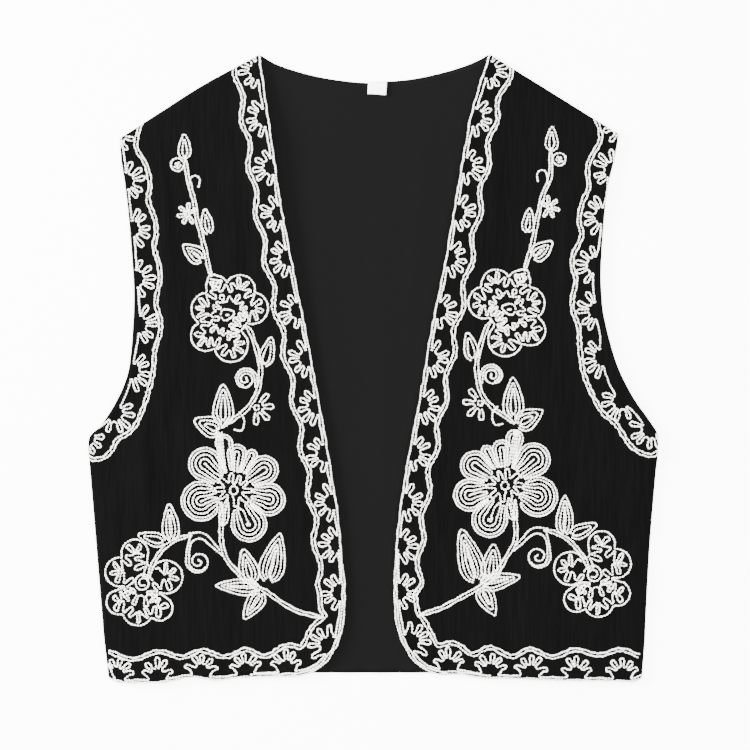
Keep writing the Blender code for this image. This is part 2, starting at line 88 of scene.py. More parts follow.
camera_data = bpy.data.cameras.new("camera")
camera_data.lens = LENS
camera_data.sensor_width = SENSOR
camera = link(bpy.data.objects.new("camera", camera_data))
height = PICTURE_WIDTH * LENS / SENSOR + CLOTH_LEVEL
camera.location = (CAMERA_PLACE[0] * MM, CAMERA_PLACE[1] * MM, height * MM)
scene.camera = camera
print("Camera height in mm:", round(height))


def soft_lamp(name, place, size, power):
    """A square lamp that looks at the middle of the vest."""
    data = bpy.data.lights.new(name, "AREA")
    data.shape = "SQUARE"
    data.size = size
    data.energy = power
    lamp = link(bpy.data.objects.new(name, data))
    lamp.location = place
    lamp.rotation_euler = (-Vector(place)).to_track_quat("-Z", "Y").to_euler()


for lamp in LAMPS:
    soft_lamp(*lamp)
world = bpy.data.worlds.new("pale sky")
world.use_nodes = True
sky = world.node_tree.nodes["Background"]
sky.inputs["Color"].default_value = (1.0, 1.0, 1.0, 1.0)
sky.inputs["Strength"].default_value = SKY_STRENGTH
scene.world = world
table_mesh = bpy.data.meshes.new("table")
table_corners = [(x * TABLE_HALF, y * TABLE_HALF, TABLE_LEVEL)
                 for x, y in ((-1, -1), (1, -1), (1, 1), (-1, 1))]
table_mesh.from_pydata(table_corners, [], [(0, 1, 2, 3)])
table = link(bpy.data.objects.new("table", table_mesh))

# %% [markdown]
# ## Materials
#
# Cloth and thread look soft because they are rough: light leaves them in all directions
# and no highlight forms. What tells the pieces apart is their small relief. The outside is
# crinkle cotton, washed so that it shrinks into fine upright wrinkles. The inside of the
# back is the same cloth seen from the smooth side, a little greyer. The embroidery is thick
# unbleached cotton thread.

# %% Materials
CRINKLE_WIDTH = 2.6
CRINKLE_LENGTH = 34.0
CRINKLE_DEPTH = 0.5
FIBRE_SIZE = 0.45
TWIST_SIZE = (0.3, 0.3, 0.3)
WEAVE_SIZE = (0.6, 0.25, 0.3)
BOARD_GLOW = 4.0


def linear(code):
    """An sRGB colour such as #1d1e1e as the linear values that the renderer needs."""
    values = []
    for start in (1, 3, 5):
        value = int(code[start:start + 2], 16) / 255
        values.append(value / 12.92 if value <= 0.04045 else ((value + 0.055) / 1.055) ** 2.4)
    return (*values, 1.0)


def add_node(tree, kind, values=None, **settings):
    """Add a node, set its options and the values of its input sockets."""
    node = tree.nodes.new(kind)
    for name, value in settings.items():
        setattr(node, name, value)
    for name, value in (values or {}).items():
        node.inputs[name].default_value = value
    return node


def rough_material(name, colour, roughness, specular):
    material = bpy.data.materials.new(name)
    material.use_nodes = True
    tree = material.node_tree
    shader = tree.nodes["Principled BSDF"]
    shader.inputs["Base Color"].default_value = linear(colour)
    shader.inputs["Roughness"].default_value = roughness
    shader.inputs["Specular IOR Level"].default_value = specular
    return material, tree, shader


def stretched_noise(tree, size, detail=1.0):
    """Noise whose spots have this size in millimetres along x, y and z."""
    place = add_node(tree, "ShaderNodeTexCoord")
    scale = add_node(tree, "ShaderNodeMapping", {"Scale": [1 / (value * MM) for value in size]})
    noise = add_node(tree, "ShaderNodeTexNoise", {"Scale": 1.0, "Detail": detail})
    tree.links.new(place.outputs["Object"], scale.inputs["Vector"])
    tree.links.new(scale.outputs["Vector"], noise.inputs["Vector"])
    return noise


def add_bump(tree, shader, noise, depth, strength):
    bump = add_node(tree, "ShaderNodeBump", {"Distance": depth * MM, "Strength": strength})
    tree.links.new(noise.outputs["Fac"], bump.inputs["Height"])
    tree.links.new(bump.outputs["Normal"], shader.inputs["Normal"])


# Crinkle cotton: upright wrinkles in relief, and painted shade: the wrinkle noise makes the black
# darker in the wrinkle troughs and lighter on their ridges
crinkle, tree, shader = rough_material("black crinkle cotton", "#060606",
                                       roughness=0.95, specular=0.01)
wrinkles = stretched_noise(tree, (CRINKLE_WIDTH, CRINKLE_LENGTH, CRINKLE_LENGTH), detail=4.0)
add_bump(tree, shader, wrinkles, depth=CRINKLE_DEPTH, strength=0.9)
# Painted shade: the low places of the wrinkles get the darker black, the high places the lighter
# one
wrinkle_shade_mix = add_node(tree, "ShaderNodeMix", data_type="RGBA")
trough_and_ridge_black = [socket for socket in wrinkle_shade_mix.inputs if socket.type == "RGBA"]
trough_and_ridge_black[0].default_value = linear("#030303")
trough_and_ridge_black[1].default_value = linear("#070707")
tree.links.new(wrinkles.outputs["Fac"], wrinkle_shade_mix.inputs["Factor"])
wrinkle_shaded_black = next(socket for socket in wrinkle_shade_mix.outputs if socket.type == "RGBA")
tree.links.new(wrinkle_shaded_black, shader.inputs["Base Color"])

# The smooth side: only the fuzz of the fibres
smooth_side, tree, shader = rough_material("black cotton inside", "#090909",
                                           roughness=0.95, specular=0.01)
fuzz = stretched_noise(tree, (FIBRE_SIZE,) * 3, detail=2.0)
add_bump(tree, shader, fuzz, depth=0.1, strength=0.4)

# Cotton thread: nearly white, with the faint lumps of its twist
thread, tree, shader = rough_material("unbleached cotton thread", "#fefcf5",
                                      roughness=0.75, specular=0.3)
add_bump(tree, shader, stretched_noise(tree, TWIST_SIZE), depth=0.08, strength=0.35)

# Label tape: a dense white weave with a slight sheen
tape, tree, shader = rough_material("white woven tape", "#f4f4f4", roughness=0.6, specular=0.35)
add_bump(tree, shader, stretched_noise(tree, WEAVE_SIZE), depth=0.06, strength=0.5)

# The table: a matt white board that glows a little, as a light table does, so it stays white
board, tree, shader = rough_material("matt white board", "#ffffff", roughness=0.9, specular=0.1)
shader.inputs["Emission Color"].default_value = linear("#ffffff")
shader.inputs["Emission Strength"].default_value = BOARD_GLOW
table_mesh.materials.append(board)

# %% [markdown]
# ## The cut of the vest
#
# Each front is drawn from its four edges: the side seam with the armhole above it, the
# hem, the free front edge and the shoulder. A smooth curve runs through every short table,
# and the inside of the panel is blended from all four edges. This patch gives the cloth an
# even grid, in which across runs from the side to the front edge and up from the hem to
# the shoulder. The two fronts differ a little, as on any real vest that was laid by hand.

# %% The cut of the vest
FRONT_FLOOR = 1.5
OUTLINES = {
    "left": {
        "armhole": (
            (228.0, 315.6), (226.4, 306.0), (216.8, 296.4), (204.8, 277.2),
            (196.8, 258.0), (193.6, 238.8), (191.6, 210.0), (191.2, 190.8),
            (192.2, 171.6), (195.2, 133.2), (198.4, 104.4), (201.4, 85.2), (202.4, 67.6),
        ),
        "side": ((211.4, 500.0), (215.2, 469.2), (216.8, 450.0), (221.6, 392.4),
                 (226.4, 334.8), (228.0, 315.6)),
        "shoulder": ((202.4, 67.6), (169.6, 46.4), (135.2, 24.6), (90.4, 0.4)),
        "front": (
            (37.6, 488.4), (29.6, 475.6), (24.8, 462.8), (22.4, 443.0), (22.6, 420.0),
            (24.8, 398.8), (26.8, 373.2), (32.8, 334.8), (39.2, 296.4), (46.4, 258.0),
            (53.6, 219.6), (64.0, 168.4), (73.6, 117.2), (80.8, 66.0), (84.8, 40.4),
            (90.4, 0.4),
        ),
        "hem": (
            (211.4, 500.0), (202.0, 503.4), (181.0, 503.6), (164.0, 503.0), (145.0, 499.2),
            (125.6, 501.6), (106.4, 499.6), (77.6, 498.8), (58.4, 498.0), (46.5, 494.2),
            (37.6, 488.4),
        ),
    },
    "right": {
        "armhole": (
            (227.6, 325.2), (228.0, 306.0), (222.6, 295.6), (209.6, 277.2),
            (199.2, 258.0), (192.0, 238.8), (184.8, 210.0), (182.8, 190.8),
            (182.4, 171.6), (184.8, 133.2), (188.4, 104.4), (193.0, 85.2), (196.8, 64.4),
        ),
        "side": ((215.2, 500.0), (217.6, 469.2), (218.4, 450.0), (221.6, 392.4),
                 (226.0, 340.0), (227.6, 325.2)),
        "shoulder": ((196.8, 64.4), (166.4, 45.6), (133.6, 25.2), (92.8, 0.0)),
        "front": (
            (33.6, 488.4), (25.6, 475.6), (20.0, 462.8), (17.4, 446.0), (16.8, 424.4),
            (17.6, 398.8), (20.0, 373.2), (25.6, 334.8), (32.8, 296.4), (40.0, 258.0),
            (46.4, 219.6), (56.8, 168.4), (65.6, 117.2), (74.4, 66.0), (80.0, 40.4),
            (92.8, 0.0),
        ),
        "hem": (
            (215.2, 500.0), (208.0, 502.8), (191.0, 502.2), (162.4, 502.0), (133.6, 501.2),
            (114.4, 500.4), (85.6, 499.6), (69.0, 496.8), (53.6, 497.2), (43.0, 493.8),
            (33.6, 488.4),
        ),
    },
}
BACK_NECK = (
    # right of the centre line, down
    (-77.5, 7.4), (-58.5, 13.8), (-39.0, 18.4), (-16.0, 21.6),
    (5.0, 21.6), (28.0, 19.8), (50.0, 15.6), (70.0, 10.0), (84.0, 4.4),
)
BACK_HEM_DOWN = 495.6
BACK_INSET = 0.9


def to_xy(side, spot):
    """Turn (out, down) on one side of the vest into x and y, in millimetres."""
    sign = -1.0 if side == "left" else 1.0
    return (sign * spot[0], LENGTH / 2 - spot[1])


def smooth(points, steps=10):
    """A smooth curve through the points, as a close row of points."""
    row = [Vector(point) for point in points]
    padded = [2 * row[0] - row[1]] + row + [2 * row[-1] - row[-2]]
    curve = []
    for index in range(1, len(padded) - 2):
        before, start, end, after = padded[index - 1:index + 3]
        for step in range(steps):
            t = step / steps
            curve.append(0.5 * (2 * start + (end - before) * t
                                + (2 * before - 5 * start + 4 * end - after) * t ** 2
                                + (3 * start - before - 3 * end + after) * t ** 3))
    curve.append(row[-1])
    return curve


def even(points, count):
    """The same curve as count equal steps."""
    row = [Vector(point) for point in points]
    reach = [0.0]
    for start, end in zip(row, row[1:]):
        reach.append(reach[-1] + (end - start).length)
    result = []
    index = 0
    for step in range(count + 1):
        goal = reach[-1] * step / count
        while index < len(row) - 2 and reach[index + 1] < goal:
            index += 1
        span = max(reach[index + 1] - reach[index], 1e-9)
        result.append(row[index].lerp(row[index + 1], (goal - reach[index]) / span))
    return result


def length_of(points):
    return sum((end - start).length for start, end in zip(points, points[1:]))


def even_steps(points, step):
    """The same curve with points about one step apart."""
    row = [Vector(point) for point in points]
    return even(row, max(2, round(length_of(row) / step)))


def blend_patch(outer, inner, hem, top):
    """Rows of points from hem to top, blended from four edges that meet at the corners."""
    rows = len(outer) - 1
    cells = len(hem) - 1
    patch = []
    for row in range(rows + 1):
        up = row / rows
        line = []
        for cell in range(cells + 1):
            across = cell / cells
            sides = outer[row].lerp(inner[row], across)
            ends = hem[cell].lerp(top[cell], up)
            low_corners = hem[0].lerp(hem[-1], across)
            high_corners = top[0].lerp(top[-1], across)
            line.append(sides + ends - low_corners.lerp(high_corners, up))
        patch.append(line)
    return patch


def front_patch(side, side_rows, armhole_rows, cells):
    outline = OUTLINES[side]
    seam = even(smooth(outline["side"]), side_rows)
    armhole = even(smooth(outline["armhole"]), armhole_rows)
    inner = even(smooth(outline["front"]), side_rows + armhole_rows)
    return blend_patch(seam + armhole[1:], inner, even(smooth(outline["hem"]), cells),
                       even(smooth(outline["shoulder"]), cells))


print("Length of the free front edge in mm:",
      round(length_of(smooth(OUTLINES["left"]["front"]))))

# %% [markdown]
# ## Folds and creases
#
# Cloth on a table is never flat. The broad folds are the ones of the CAD solids, so both
# models lie the same way. The creases are listed one by one: each runs up and down the vest,
# as washing and folding leave them, with one soft slope and one steeper slope. The
# finest wrinkles are left to the material.

# %% Folds and creases
FOLDS = {
    "left": (
        # across at hem, across at shoulder, rise, half width, from up, to up
        (0.17, 0.30, 0.9, 0.15, -0.40, 0.90),
        (0.44, 0.46, 0.8, 0.13, -0.40, 0.72),
        (0.64, 0.66, 1.0, 0.15, 0.10, 1.00),
        (0.84, 0.78, 0.7, 0.12, -0.40, 0.60),
        (0.26, 0.20, 0.8, 0.14, 0.48, 1.02),
    ),
    "right": (
        (0.20, 0.24, 0.8, 0.16, -0.40, 0.80),
        (0.40, 0.50, 1.0, 0.15, -0.40, 0.96),
        (0.67, 0.70, 0.8, 0.13, -0.40, 0.66),
        (0.80, 0.76, 0.7, 0.13, 0.35, 1.00),
        (0.18, 0.22, 0.6, 0.13, 0.60, 1.00),
    ),
}
EDGE_RISE = {
    # up, rise of the free front edge
    "left": ((0.0, 0.4), (0.25, 0.5), (0.5, 0.8), (0.72, 2.4), (0.86, 3.4), (1.0, 0.0)),
    "right": ((0.0, 0.5), (0.25, 0.4), (0.5, 0.7), (0.72, 1.0), (0.86, 1.3), (1.0, 0.0)),
}
EDGE_RISE_REACH = 0.32
# The narrower side of a crease, as a share of the wide one, and how bluntly its ends fade
STEEP_SIDE = 0.55
CREASE_FADE = 0.8
CREASES = {
    "left": (
        # down from, down to, out at the top, in the middle, at the foot, rise, half width
        (34.0, 128.0, 150.0, 147.0, 151.0, 0.35, 7.0),
        (60.0, 205.0, 113.0, 110.0, 108.0, 0.45, 6.0),
        (74.0, 205.0, 169.0, 164.0, 167.0, 0.50, 7.0),
        (126.0, 250.0, 92.0, 89.0, 86.0, 0.30, 6.0),
        (196.0, 300.0, 152.0, 149.0, 152.0, 0.35, 6.0),
        (248.0, 352.0, 168.0, 166.0, 163.0, 0.45, 6.0),
        (262.0, 384.0, 185.0, 182.0, 180.0, 0.90, 8.0),
        (296.0, 390.0, 59.0, 57.0, 58.0, 0.60, 6.0),
        (332.0, 470.0, 209.0, 206.0, 203.0, 0.80, 9.0),
        (388.0, 478.0, 152.0, 150.0, 147.0, 0.65, 7.0),
        (396.0, 476.0, 161.0, 164.0, 166.0, 0.40, 6.0),
        (436.0, 482.0, 118.0, 115.0, 118.0, 0.45, 6.0),
        (452.0, 500.0, 204.0, 201.0, 203.0, 0.70, 4.5),
        (446.0, 496.0, 194.0, 192.0, 193.0, 0.40, 4.5),
    ),
    "right": (
        (36.0, 112.0, 151.0, 148.0, 149.0, 0.35, 7.0),
        (58.0, 205.0, 95.0, 98.0, 97.0, 0.40, 6.0),
        (80.0, 212.0, 150.0, 153.0, 150.0, 0.45, 7.0),
        (196.0, 300.0, 63.0, 66.0, 63.0, 0.30, 5.0),
        (210.0, 332.0, 147.0, 150.0, 153.0, 0.45, 7.0),
        (296.0, 402.0, 166.0, 167.0, 163.0, 0.50, 7.0),
        (304.0, 392.0, 206.0, 208.0, 206.0, 0.60, 8.0),
        (318.0, 392.0, 51.0, 49.0, 52.0, 0.60, 6.0),
        (392.0, 474.0, 140.0, 143.0, 144.0, 0.45, 6.0),
        (398.0, 482.0, 209.0, 207.0, 208.0, 0.55, 8.0),
        (408.0, 482.0, 60.0, 63.0, 61.0, 0.40, 6.0),
        (438.0, 484.0, 119.0, 122.0, 118.0, 0.45, 6.0),
    ),
    "back": (
        # the same, with out counted to the right of the centre line
        (60.0, 300.0, -44.0, -40.0, -30.0, 0.35, 12.0),
        (90.0, 420.0, 6.0, 9.0, 4.0, 0.30, 14.0),
        (40.0, 260.0, 40.0, 34.0, 28.0, 0.30, 12.0),
        (60.0, 470.0, -150.0, -152.0, -148.0, 0.30, 12.0),
        (60.0, 470.0, 150.0, 148.0, 153.0, 0.30, 12.0),
        (330.0, 495.0, -14.0, -12.0, -16.0, 0.30, 9.0),
    ),
}


def soft_step(value):
    value = min(max(value, 0.0), 1.0)
    return value * value * (3 - 2 * value)


def along(table, value):
    """Read a short table of (value, result) rows, with straight runs between them."""
    for (low, start), (high, end) in zip(table, table[1:]):
        if value <= high:
            return start + (end - start) * (value - low) / (high - low)
    return table[-1][1]


def fold_height(side, across, up):
    """How far a front stands off the back at a place on its own grid."""
    total = 0.0
    for at_hem, at_shoulder, rise, half_width, low, high in FOLDS[side]:
        centre = at_hem + (at_shoulder - at_hem) * up
        offset = abs(across - centre) / half_width
        if offset < 1.0 and low < up < high:
            ends = math.sin(math.pi * (up - low) / (high - low))
            total += rise * ends * math.cos(offset * math.pi / 2) ** 2
    reach = soft_step((across - 1 + EDGE_RISE_REACH) / EDGE_RISE_REACH)
    return total + along(EDGE_RISE[side], up) * reach


def crease_height(name, out, down):
    """The height of all creases of one panel at a place."""
    total = 0.0
    for start, end, top, middle, foot, rise, half_width in CREASES[name]:
        if not start < down < end:
            continue
        share = (down - start) / (end - start)
        bend = 2 * (middle - (top + foot) / 2)
        centre = top + (foot - top) * share + bend * 2 * share * (1 - share)
        offset = (out - centre) / half_width
        if offset < 0.0:
            offset /= STEEP_SIDE
        fade = math.sin(math.pi * share) ** CREASE_FADE
        total += rise * fade * math.exp(-offset * offset)
    return total


# %% [markdown]
# ## The three sheets of cloth
#
# Each panel is a closed shell less than one millimetre thick: an underside, a top and a
# rim. The fronts are turned in at their free edges, so the cloth is double there. At the
# side seams and shoulders they dip, because that is where they are sewn to the back.

# %% The three sheets of cloth
CLOTH = 0.9
HEM_FOLD = 0.35
HEM_FOLD_WIDTH = 7.0
SEAM_DIP = 0.5
SEAM_DIP_WIDTH = 5.0
SIDE_ROWS, ARMHOLE_ROWS, FRONT_CELLS = 72, 108, 88
BACK_SIDE_ROWS, BACK_ARMHOLE_ROWS = 44, 66
BACK_SHOULDER_CELLS, BACK_NECK_CELLS = 32, 22
# The back hem curls up a little in waves, but only in the gap between the fronts
BACK_HEM_CURL = 1.1
BACK_HEM_CURL_WIDTH = 9.0
BACK_HEM_WAVE = 26.0
BACK_HEM_WAVE_SHARE = 0.45
GAP_MIDDLE = -4.0
GAP_HALF = 48.0
GAP_FADE = 14.0


def cloth_shell(name, rows, thickness, material, turn_over):
    """A closed shell over rows of underside points (x, y, z), given in millimetres."""
    across = len(rows[0])
    bottom = [spot for row in rows for spot in row]
    extra = [value for row in thickness for value in row]
    top = [(x, y, z + more) for (x, y, z), more in zip(bottom, extra)]
    count = len(bottom)
    top_faces = []
    for row in range(len(rows) - 1):
        for cell in range(across - 1):
            start = row * across + cell
            top_faces.append((start, start + 1, start + across + 1, start + across))
    last = (len(rows) - 1) * across
    loop = list(range(across))
    loop += [row * across + across - 1 for row in range(1, len(rows))]
    loop += [last + cell for cell in range(across - 2, -1, -1)]
    loop += [row * across for row in range(len(rows) - 2, 0, -1)]
    faces = [tuple(index + count for index in face) for face in top_faces]
    faces += [face[::-1] for face in top_faces]
    faces += [(start, end, end + count, start + count)
              for start, end in zip(loop, loop[1:] + loop[:1])]
    if turn_over:
        faces = [face[::-1] for face in faces]
    mesh = bpy.data.meshes.new(name)
    mesh.from_pydata([[value * MM for value in spot] for spot in bottom + top], [], faces)
    mesh.shade_smooth()
    mesh.materials.append(material)
    item = link(bpy.data.objects.new(name, mesh))
    item["cloth_area"] = sum(face.area for face in mesh.polygons) / 2
    finder = BVHTree.FromPolygons(top, top_faces)
    return item, finder


def make_front(side):
    patch = front_patch(side, SIDE_ROWS, ARMHOLE_ROWS, FRONT_CELLS)
    rows, thickness = [], []
    for row, line in enumerate(patch):
        up = row / (len(patch) - 1)
        points, walls = [], []
        for cell, spot in enumerate(line):
            across = cell / FRONT_CELLS
            to_seam = (spot - line[0]).length
            free = [(spot - line[-1]).length, (spot - patch[0][cell]).length]
            sewn = [(spot - patch[-1][cell]).length]
            (free if row > SIDE_ROWS else sewn).append(to_seam)
            dip = SEAM_DIP * soft_step(1 - min(sewn) / SEAM_DIP_WIDTH)
            lift = fold_height(side, across, up) + crease_height(side, spot.x, spot.y)
            points.append((*to_xy(side, spot), FRONT_FLOOR + lift - dip))
            walls.append(CLOTH + HEM_FOLD * soft_step(HEM_FOLD_WIDTH - min(free)))
        rows.append(points)
        thickness.append(walls)
    return cloth_shell("cotton_front_" + side, rows, thickness, crinkle, side == "right")


def back_half(side):
    """One half of the back, from the side to the centre line."""
    outline = OUTLINES[side]
    edges = {}
    for name in ("side", "armhole", "shoulder"):
        edges[name] = [Vector((out - BACK_INSET, min(down + BACK_INSET, BACK_HEM_DOWN)))
                       for out, down in smooth(outline[name])]
    sign = -1.0 if side == "left" else 1.0
    neck = [Vector((sign * x, down + BACK_INSET)) for x, down in BACK_NECK if sign * x > 0]
    deepest = max(down for x, down in BACK_NECK)
    neck.append(Vector((0.0, deepest + 2 * BACK_INSET)))
    neck = sorted(neck, key=lambda spot: -spot.x)
    neck = smooth([edges["shoulder"][-1]] + neck)
    seam = even(edges["side"], BACK_SIDE_ROWS)
    outer = seam + even(edges["armhole"], BACK_ARMHOLE_ROWS)[1:]
    top = even(edges["shoulder"], BACK_SHOULDER_CELLS) + even(neck, BACK_NECK_CELLS)[1:]
    foot = Vector((0.0, BACK_HEM_DOWN))
    hem = even([outer[0], foot], BACK_SHOULDER_CELLS + BACK_NECK_CELLS)
    centre = even([foot, neck[-1]], BACK_SIDE_ROWS + BACK_ARMHOLE_ROWS)
    return blend_patch(outer, centre, hem, top)


def make_back():
    rows, thickness = [], []
    for left, right in zip(back_half("left"), back_half("right")):
        line = [Vector((-spot.x, spot.y)) for spot in left]
        line += [Vector((spot.x, spot.y)) for spot in reversed(right[:-1])]
        points = []
        for spot in line:
            above_hem = BACK_HEM_DOWN - spot.y
            swing = math.sin(2 * math.pi * spot.x / BACK_HEM_WAVE)
            wave = 1 - BACK_HEM_WAVE_SHARE + BACK_HEM_WAVE_SHARE * swing
            open_part = soft_step((GAP_HALF - abs(spot.x - GAP_MIDDLE)) / GAP_FADE)
            curl = BACK_HEM_CURL * wave * open_part
            rise = curl * soft_step(1 - above_hem / BACK_HEM_CURL_WIDTH)
            rise += crease_height("back", spot.x, spot.y)
            points.append((spot.x, LENGTH / 2 - spot.y, rise))
        rows.append(points)
        thickness.append([CLOTH] * len(points))
    return cloth_shell("cotton_back", rows, thickness, smooth_side, False)[0]


back = make_back()
fronts = {}
cloth_top = {}
for side in ("left", "right"):
    fronts[side], cloth_top[side] = make_front(side)
for item in (back, *fronts.values()):
    print(item.name, "area in square metres:", round(item["cloth_area"], 4))

# %% [markdown]
# ## The chain stitch
#
# A chain stitch is a row of small thread loops, each held down by the next one. On the vest
# the needle makes each loop through the one before. Here a Geometry Nodes tree does the
# same: it walks along a line, sets one narrow ring of thread at every step, and tilts the
# ring so that its front end rides over its neighbour. The ring has few faces, because it
# is repeated thousands of times.

# %% The chain stitch
STITCH_PITCH = 2.5
STITCH_LENGTH = 2.1
LOOP_WIDTH = 0.85
THREAD_RADIUS = 0.27
STITCH_TILT = 7.0
SIZE_CHANGE = 0.18
RING_CORNERS = 6
THREAD_CORNERS = 4


def chain_stitch_tree():
    tree = bpy.data.node_groups.new("chain stitch along lines", "GeometryNodeTree")
    sockets = tree.interface
    sockets.new_socket("Lines", in_out="INPUT", socket_type="NodeSocketGeometry")
    for name, value in (("Pitch", STITCH_PITCH * MM), ("Stitch length", STITCH_LENGTH * MM),
                        ("Loop width", LOOP_WIDTH * MM), ("Thread radius", THREAD_RADIUS * MM),
                        ("Tilt", math.radians(STITCH_TILT)), ("Size change", SIZE_CHANGE)):
        socket = sockets.new_socket(name, in_out="INPUT", socket_type="NodeSocketFloat")
        socket.default_value = value
    sockets.new_socket("Seed", in_out="INPUT", socket_type="NodeSocketInt")
    sockets.new_socket("Thread", in_out="INPUT", socket_type="NodeSocketMaterial")
    sockets.new_socket("Stitches", in_out="OUTPUT", socket_type="NodeSocketGeometry")

    given = add_node(tree, "NodeGroupInput")
    result = add_node(tree, "NodeGroupOutput")
    curve = add_node(tree, "GeometryNodeMeshToCurve")
    walk = add_node(tree, "GeometryNodeResampleCurve", mode="LENGTH")
    tangent = add_node(tree, "GeometryNodeInputTangent")
    turn = add_node(tree, "FunctionNodeAlignRotationToVector", axis="X", pivot_axis="Z")

    # One ring: a circle pulled long, swept with a small round section, then tilted
    circle = add_node(tree, "GeometryNodeCurvePrimitiveCircle",
                      {"Resolution": RING_CORNERS, "Radius": 0.5})
    pull = add_node(tree, "ShaderNodeCombineXYZ", {"Z": 1.0})
    ring = add_node(tree, "GeometryNodeTransform")
    section = add_node(tree, "GeometryNodeCurvePrimitiveCircle", {"Resolution": THREAD_CORNERS})
    sweep = add_node(tree, "GeometryNodeCurveToMesh")
    lean = add_node(tree, "ShaderNodeCombineXYZ")
    tilt = add_node(tree, "GeometryNodeTransform")

    change = add_node(tree, "ShaderNodeMath", operation="SUBTRACT")
    change.inputs[0].default_value = 1.0
    more = add_node(tree, "ShaderNodeMath", operation="ADD")
    more.inputs[0].default_value = 1.0
    size = add_node(tree, "FunctionNodeRandomValue", data_type="FLOAT")
    copies = add_node(tree, "GeometryNodeInstanceOnPoints")
    real = add_node(tree, "GeometryNodeRealizeInstances")
    soft = add_node(tree, "GeometryNodeSetShadeSmooth")
    paint = add_node(tree, "GeometryNodeSetMaterial")

    random_low = next(s for s in size.inputs if s.name == "Min" and s.type == "VALUE")
    random_high = next(s for s in size.inputs if s.name == "Max" and s.type == "VALUE")
    random_value = next(s for s in size.outputs if s.type == "VALUE")
    for start, end in (
        (given.outputs["Lines"], curve.inputs["Mesh"]),
        (curve.outputs["Curve"], walk.inputs["Curve"]),
        (given.outputs["Pitch"], walk.inputs["Length"]),
        (given.outputs["Stitch length"], pull.inputs["X"]),
        (given.outputs["Loop width"], pull.inputs["Y"]),
        (circle.outputs["Curve"], ring.inputs["Geometry"]),
        (pull.outputs["Vector"], ring.inputs["Scale"]),
        (given.outputs["Thread radius"], section.inputs["Radius"]),
        (ring.outputs["Geometry"], sweep.inputs["Curve"]),
        (section.outputs["Curve"], sweep.inputs["Profile Curve"]),
        (given.outputs["Tilt"], lean.inputs["Y"]),
        (sweep.outputs["Mesh"], tilt.inputs["Geometry"]),
        (lean.outputs["Vector"], tilt.inputs["Rotation"]),
        (given.outputs["Size change"], change.inputs[1]),
        (given.outputs["Size change"], more.inputs[1]),
        (change.outputs["Value"], random_low),
        (more.outputs["Value"], random_high),
        (given.outputs["Seed"], size.inputs["Seed"]),
        (walk.outputs["Curve"], copies.inputs["Points"]),
        (tilt.outputs["Geometry"], copies.inputs["Instance"]),
        (tangent.outputs["Tangent"], turn.inputs["Vector"]),
        (turn.outputs["Rotation"], copies.inputs["Rotation"]),
        (random_value, copies.inputs["Scale"]),
        (copies.outputs["Instances"], real.inputs["Geometry"]),
        (real.outputs["Geometry"], soft.inputs["Geometry"]),
        (soft.outputs["Geometry"], paint.inputs["Geometry"]),
        (given.outputs["Thread"], paint.inputs["Material"]),
        (paint.outputs["Geometry"], result.inputs["Stitches"]),
    ):
        tree.links.new(start, end)
    return tree


stitch_tree = chain_stitch_tree()
SEAT_STEP = 1.2
PROBE_HEIGHT = 60.0
SINK = 0.06
# No hand keeps a line quite even, so each line sways on a layer of noise of its own
HAND_SWAY = 0.45
HAND_SWAY_SIZE = 3.3
SWAY_LAYER = 9.1
# Without a seed this noise starts from the clock, and every run would sway in its own way
SWAY_SEED = 11
seed_set(SWAY_SEED)
# The size of the single stitches varies by a seed for each kind of motif
SEEDS = {"borders": 3, "vines": 5, "flowers": 9}


def seat_lines(side, lines):
    """Lay flat lines on a front. A line that leaves the cloth ends at its edge."""
    runs = []
    for number, line in enumerate(lines):
        run = []
        for spot in even_steps(line, SEAT_STEP):
            layer = Vector((spot.x, spot.y, SWAY_LAYER * number))
            sway = noise_vector(layer / HAND_SWAY_SIZE)
            x, y = to_xy(side, spot + sway.xy * HAND_SWAY)
            hit = cloth_top[side].ray_cast(Vector((x, y, PROBE_HEIGHT)), Vector((0, 0, -1)))[0]
            if hit is not None:
                run.append((x, y, hit.z + THREAD_RADIUS - SINK))
            elif run:
                runs.append(run)
                run = []
        runs.append(run)
    return [run for run in runs if len(run) > 2]


def stitch(kind, side, lines):
    """Work all lines in chain stitch as one plain mesh."""
    name = f"chain_stitch_{kind}_{side}"
    points, edges = [], []
    for run in seat_lines(side, lines):
        start = len(points)
        points += [[value * MM for value in spot] for spot in run]
        edges += [(index, index + 1) for index in range(start, len(points) - 1)]
    guide = bpy.data.meshes.new("lines of " + name)
    guide.from_pydata(points, edges, [])
    item = link(bpy.data.objects.new(name, guide))
    nodes = item.modifiers.new("chain stitch", "NODES")
    nodes.node_group = stitch_tree
    for socket in stitch_tree.interface.items_tree:
        if socket.item_type == "SOCKET" and socket.name == "Thread":
            nodes[socket.identifier] = thread
        if socket.item_type == "SOCKET" and socket.name == "Seed":
            nodes[socket.identifier] = SEEDS[kind]
    graph = bpy.context.evaluated_depsgraph_get()
    mesh = bpy.data.meshes.new_from_object(item.evaluated_get(graph), depsgraph=graph)
    item.modifiers.clear()
    item.data = mesh
    mesh.name = name
    reach = sum((Vector(points[a]) - Vector(points[b])).length for a, b in edges)
    triangles = sum(len(face.vertices) - 2 for face in mesh.polygons)
    print(name, "metres of stitches:", round(reach, 2), "triangles:", triangles)
    return item


def both_fronts(kind, draw):
    """One stitch piece for each front, from a function that draws its lines."""
    return {side: stitch(kind, side, draw(side)) for side in ("left", "right")}


# %% [markdown]
# ## Shapes of the embroidery
#
# Every motif is a line that the needle can follow without a stop. A fan is a row of long
# loops about one point, and it makes the half suns of the border and the daisies. A meander
# swings to and fro inside an outline, and it fills the flowers. Leaves are loops inside
# loops. Large petals are nested arcs. A stem is two lines side by side that lean on each
# other and part again.

# %% Shapes of the embroidery
LINE_STEP = 1.0
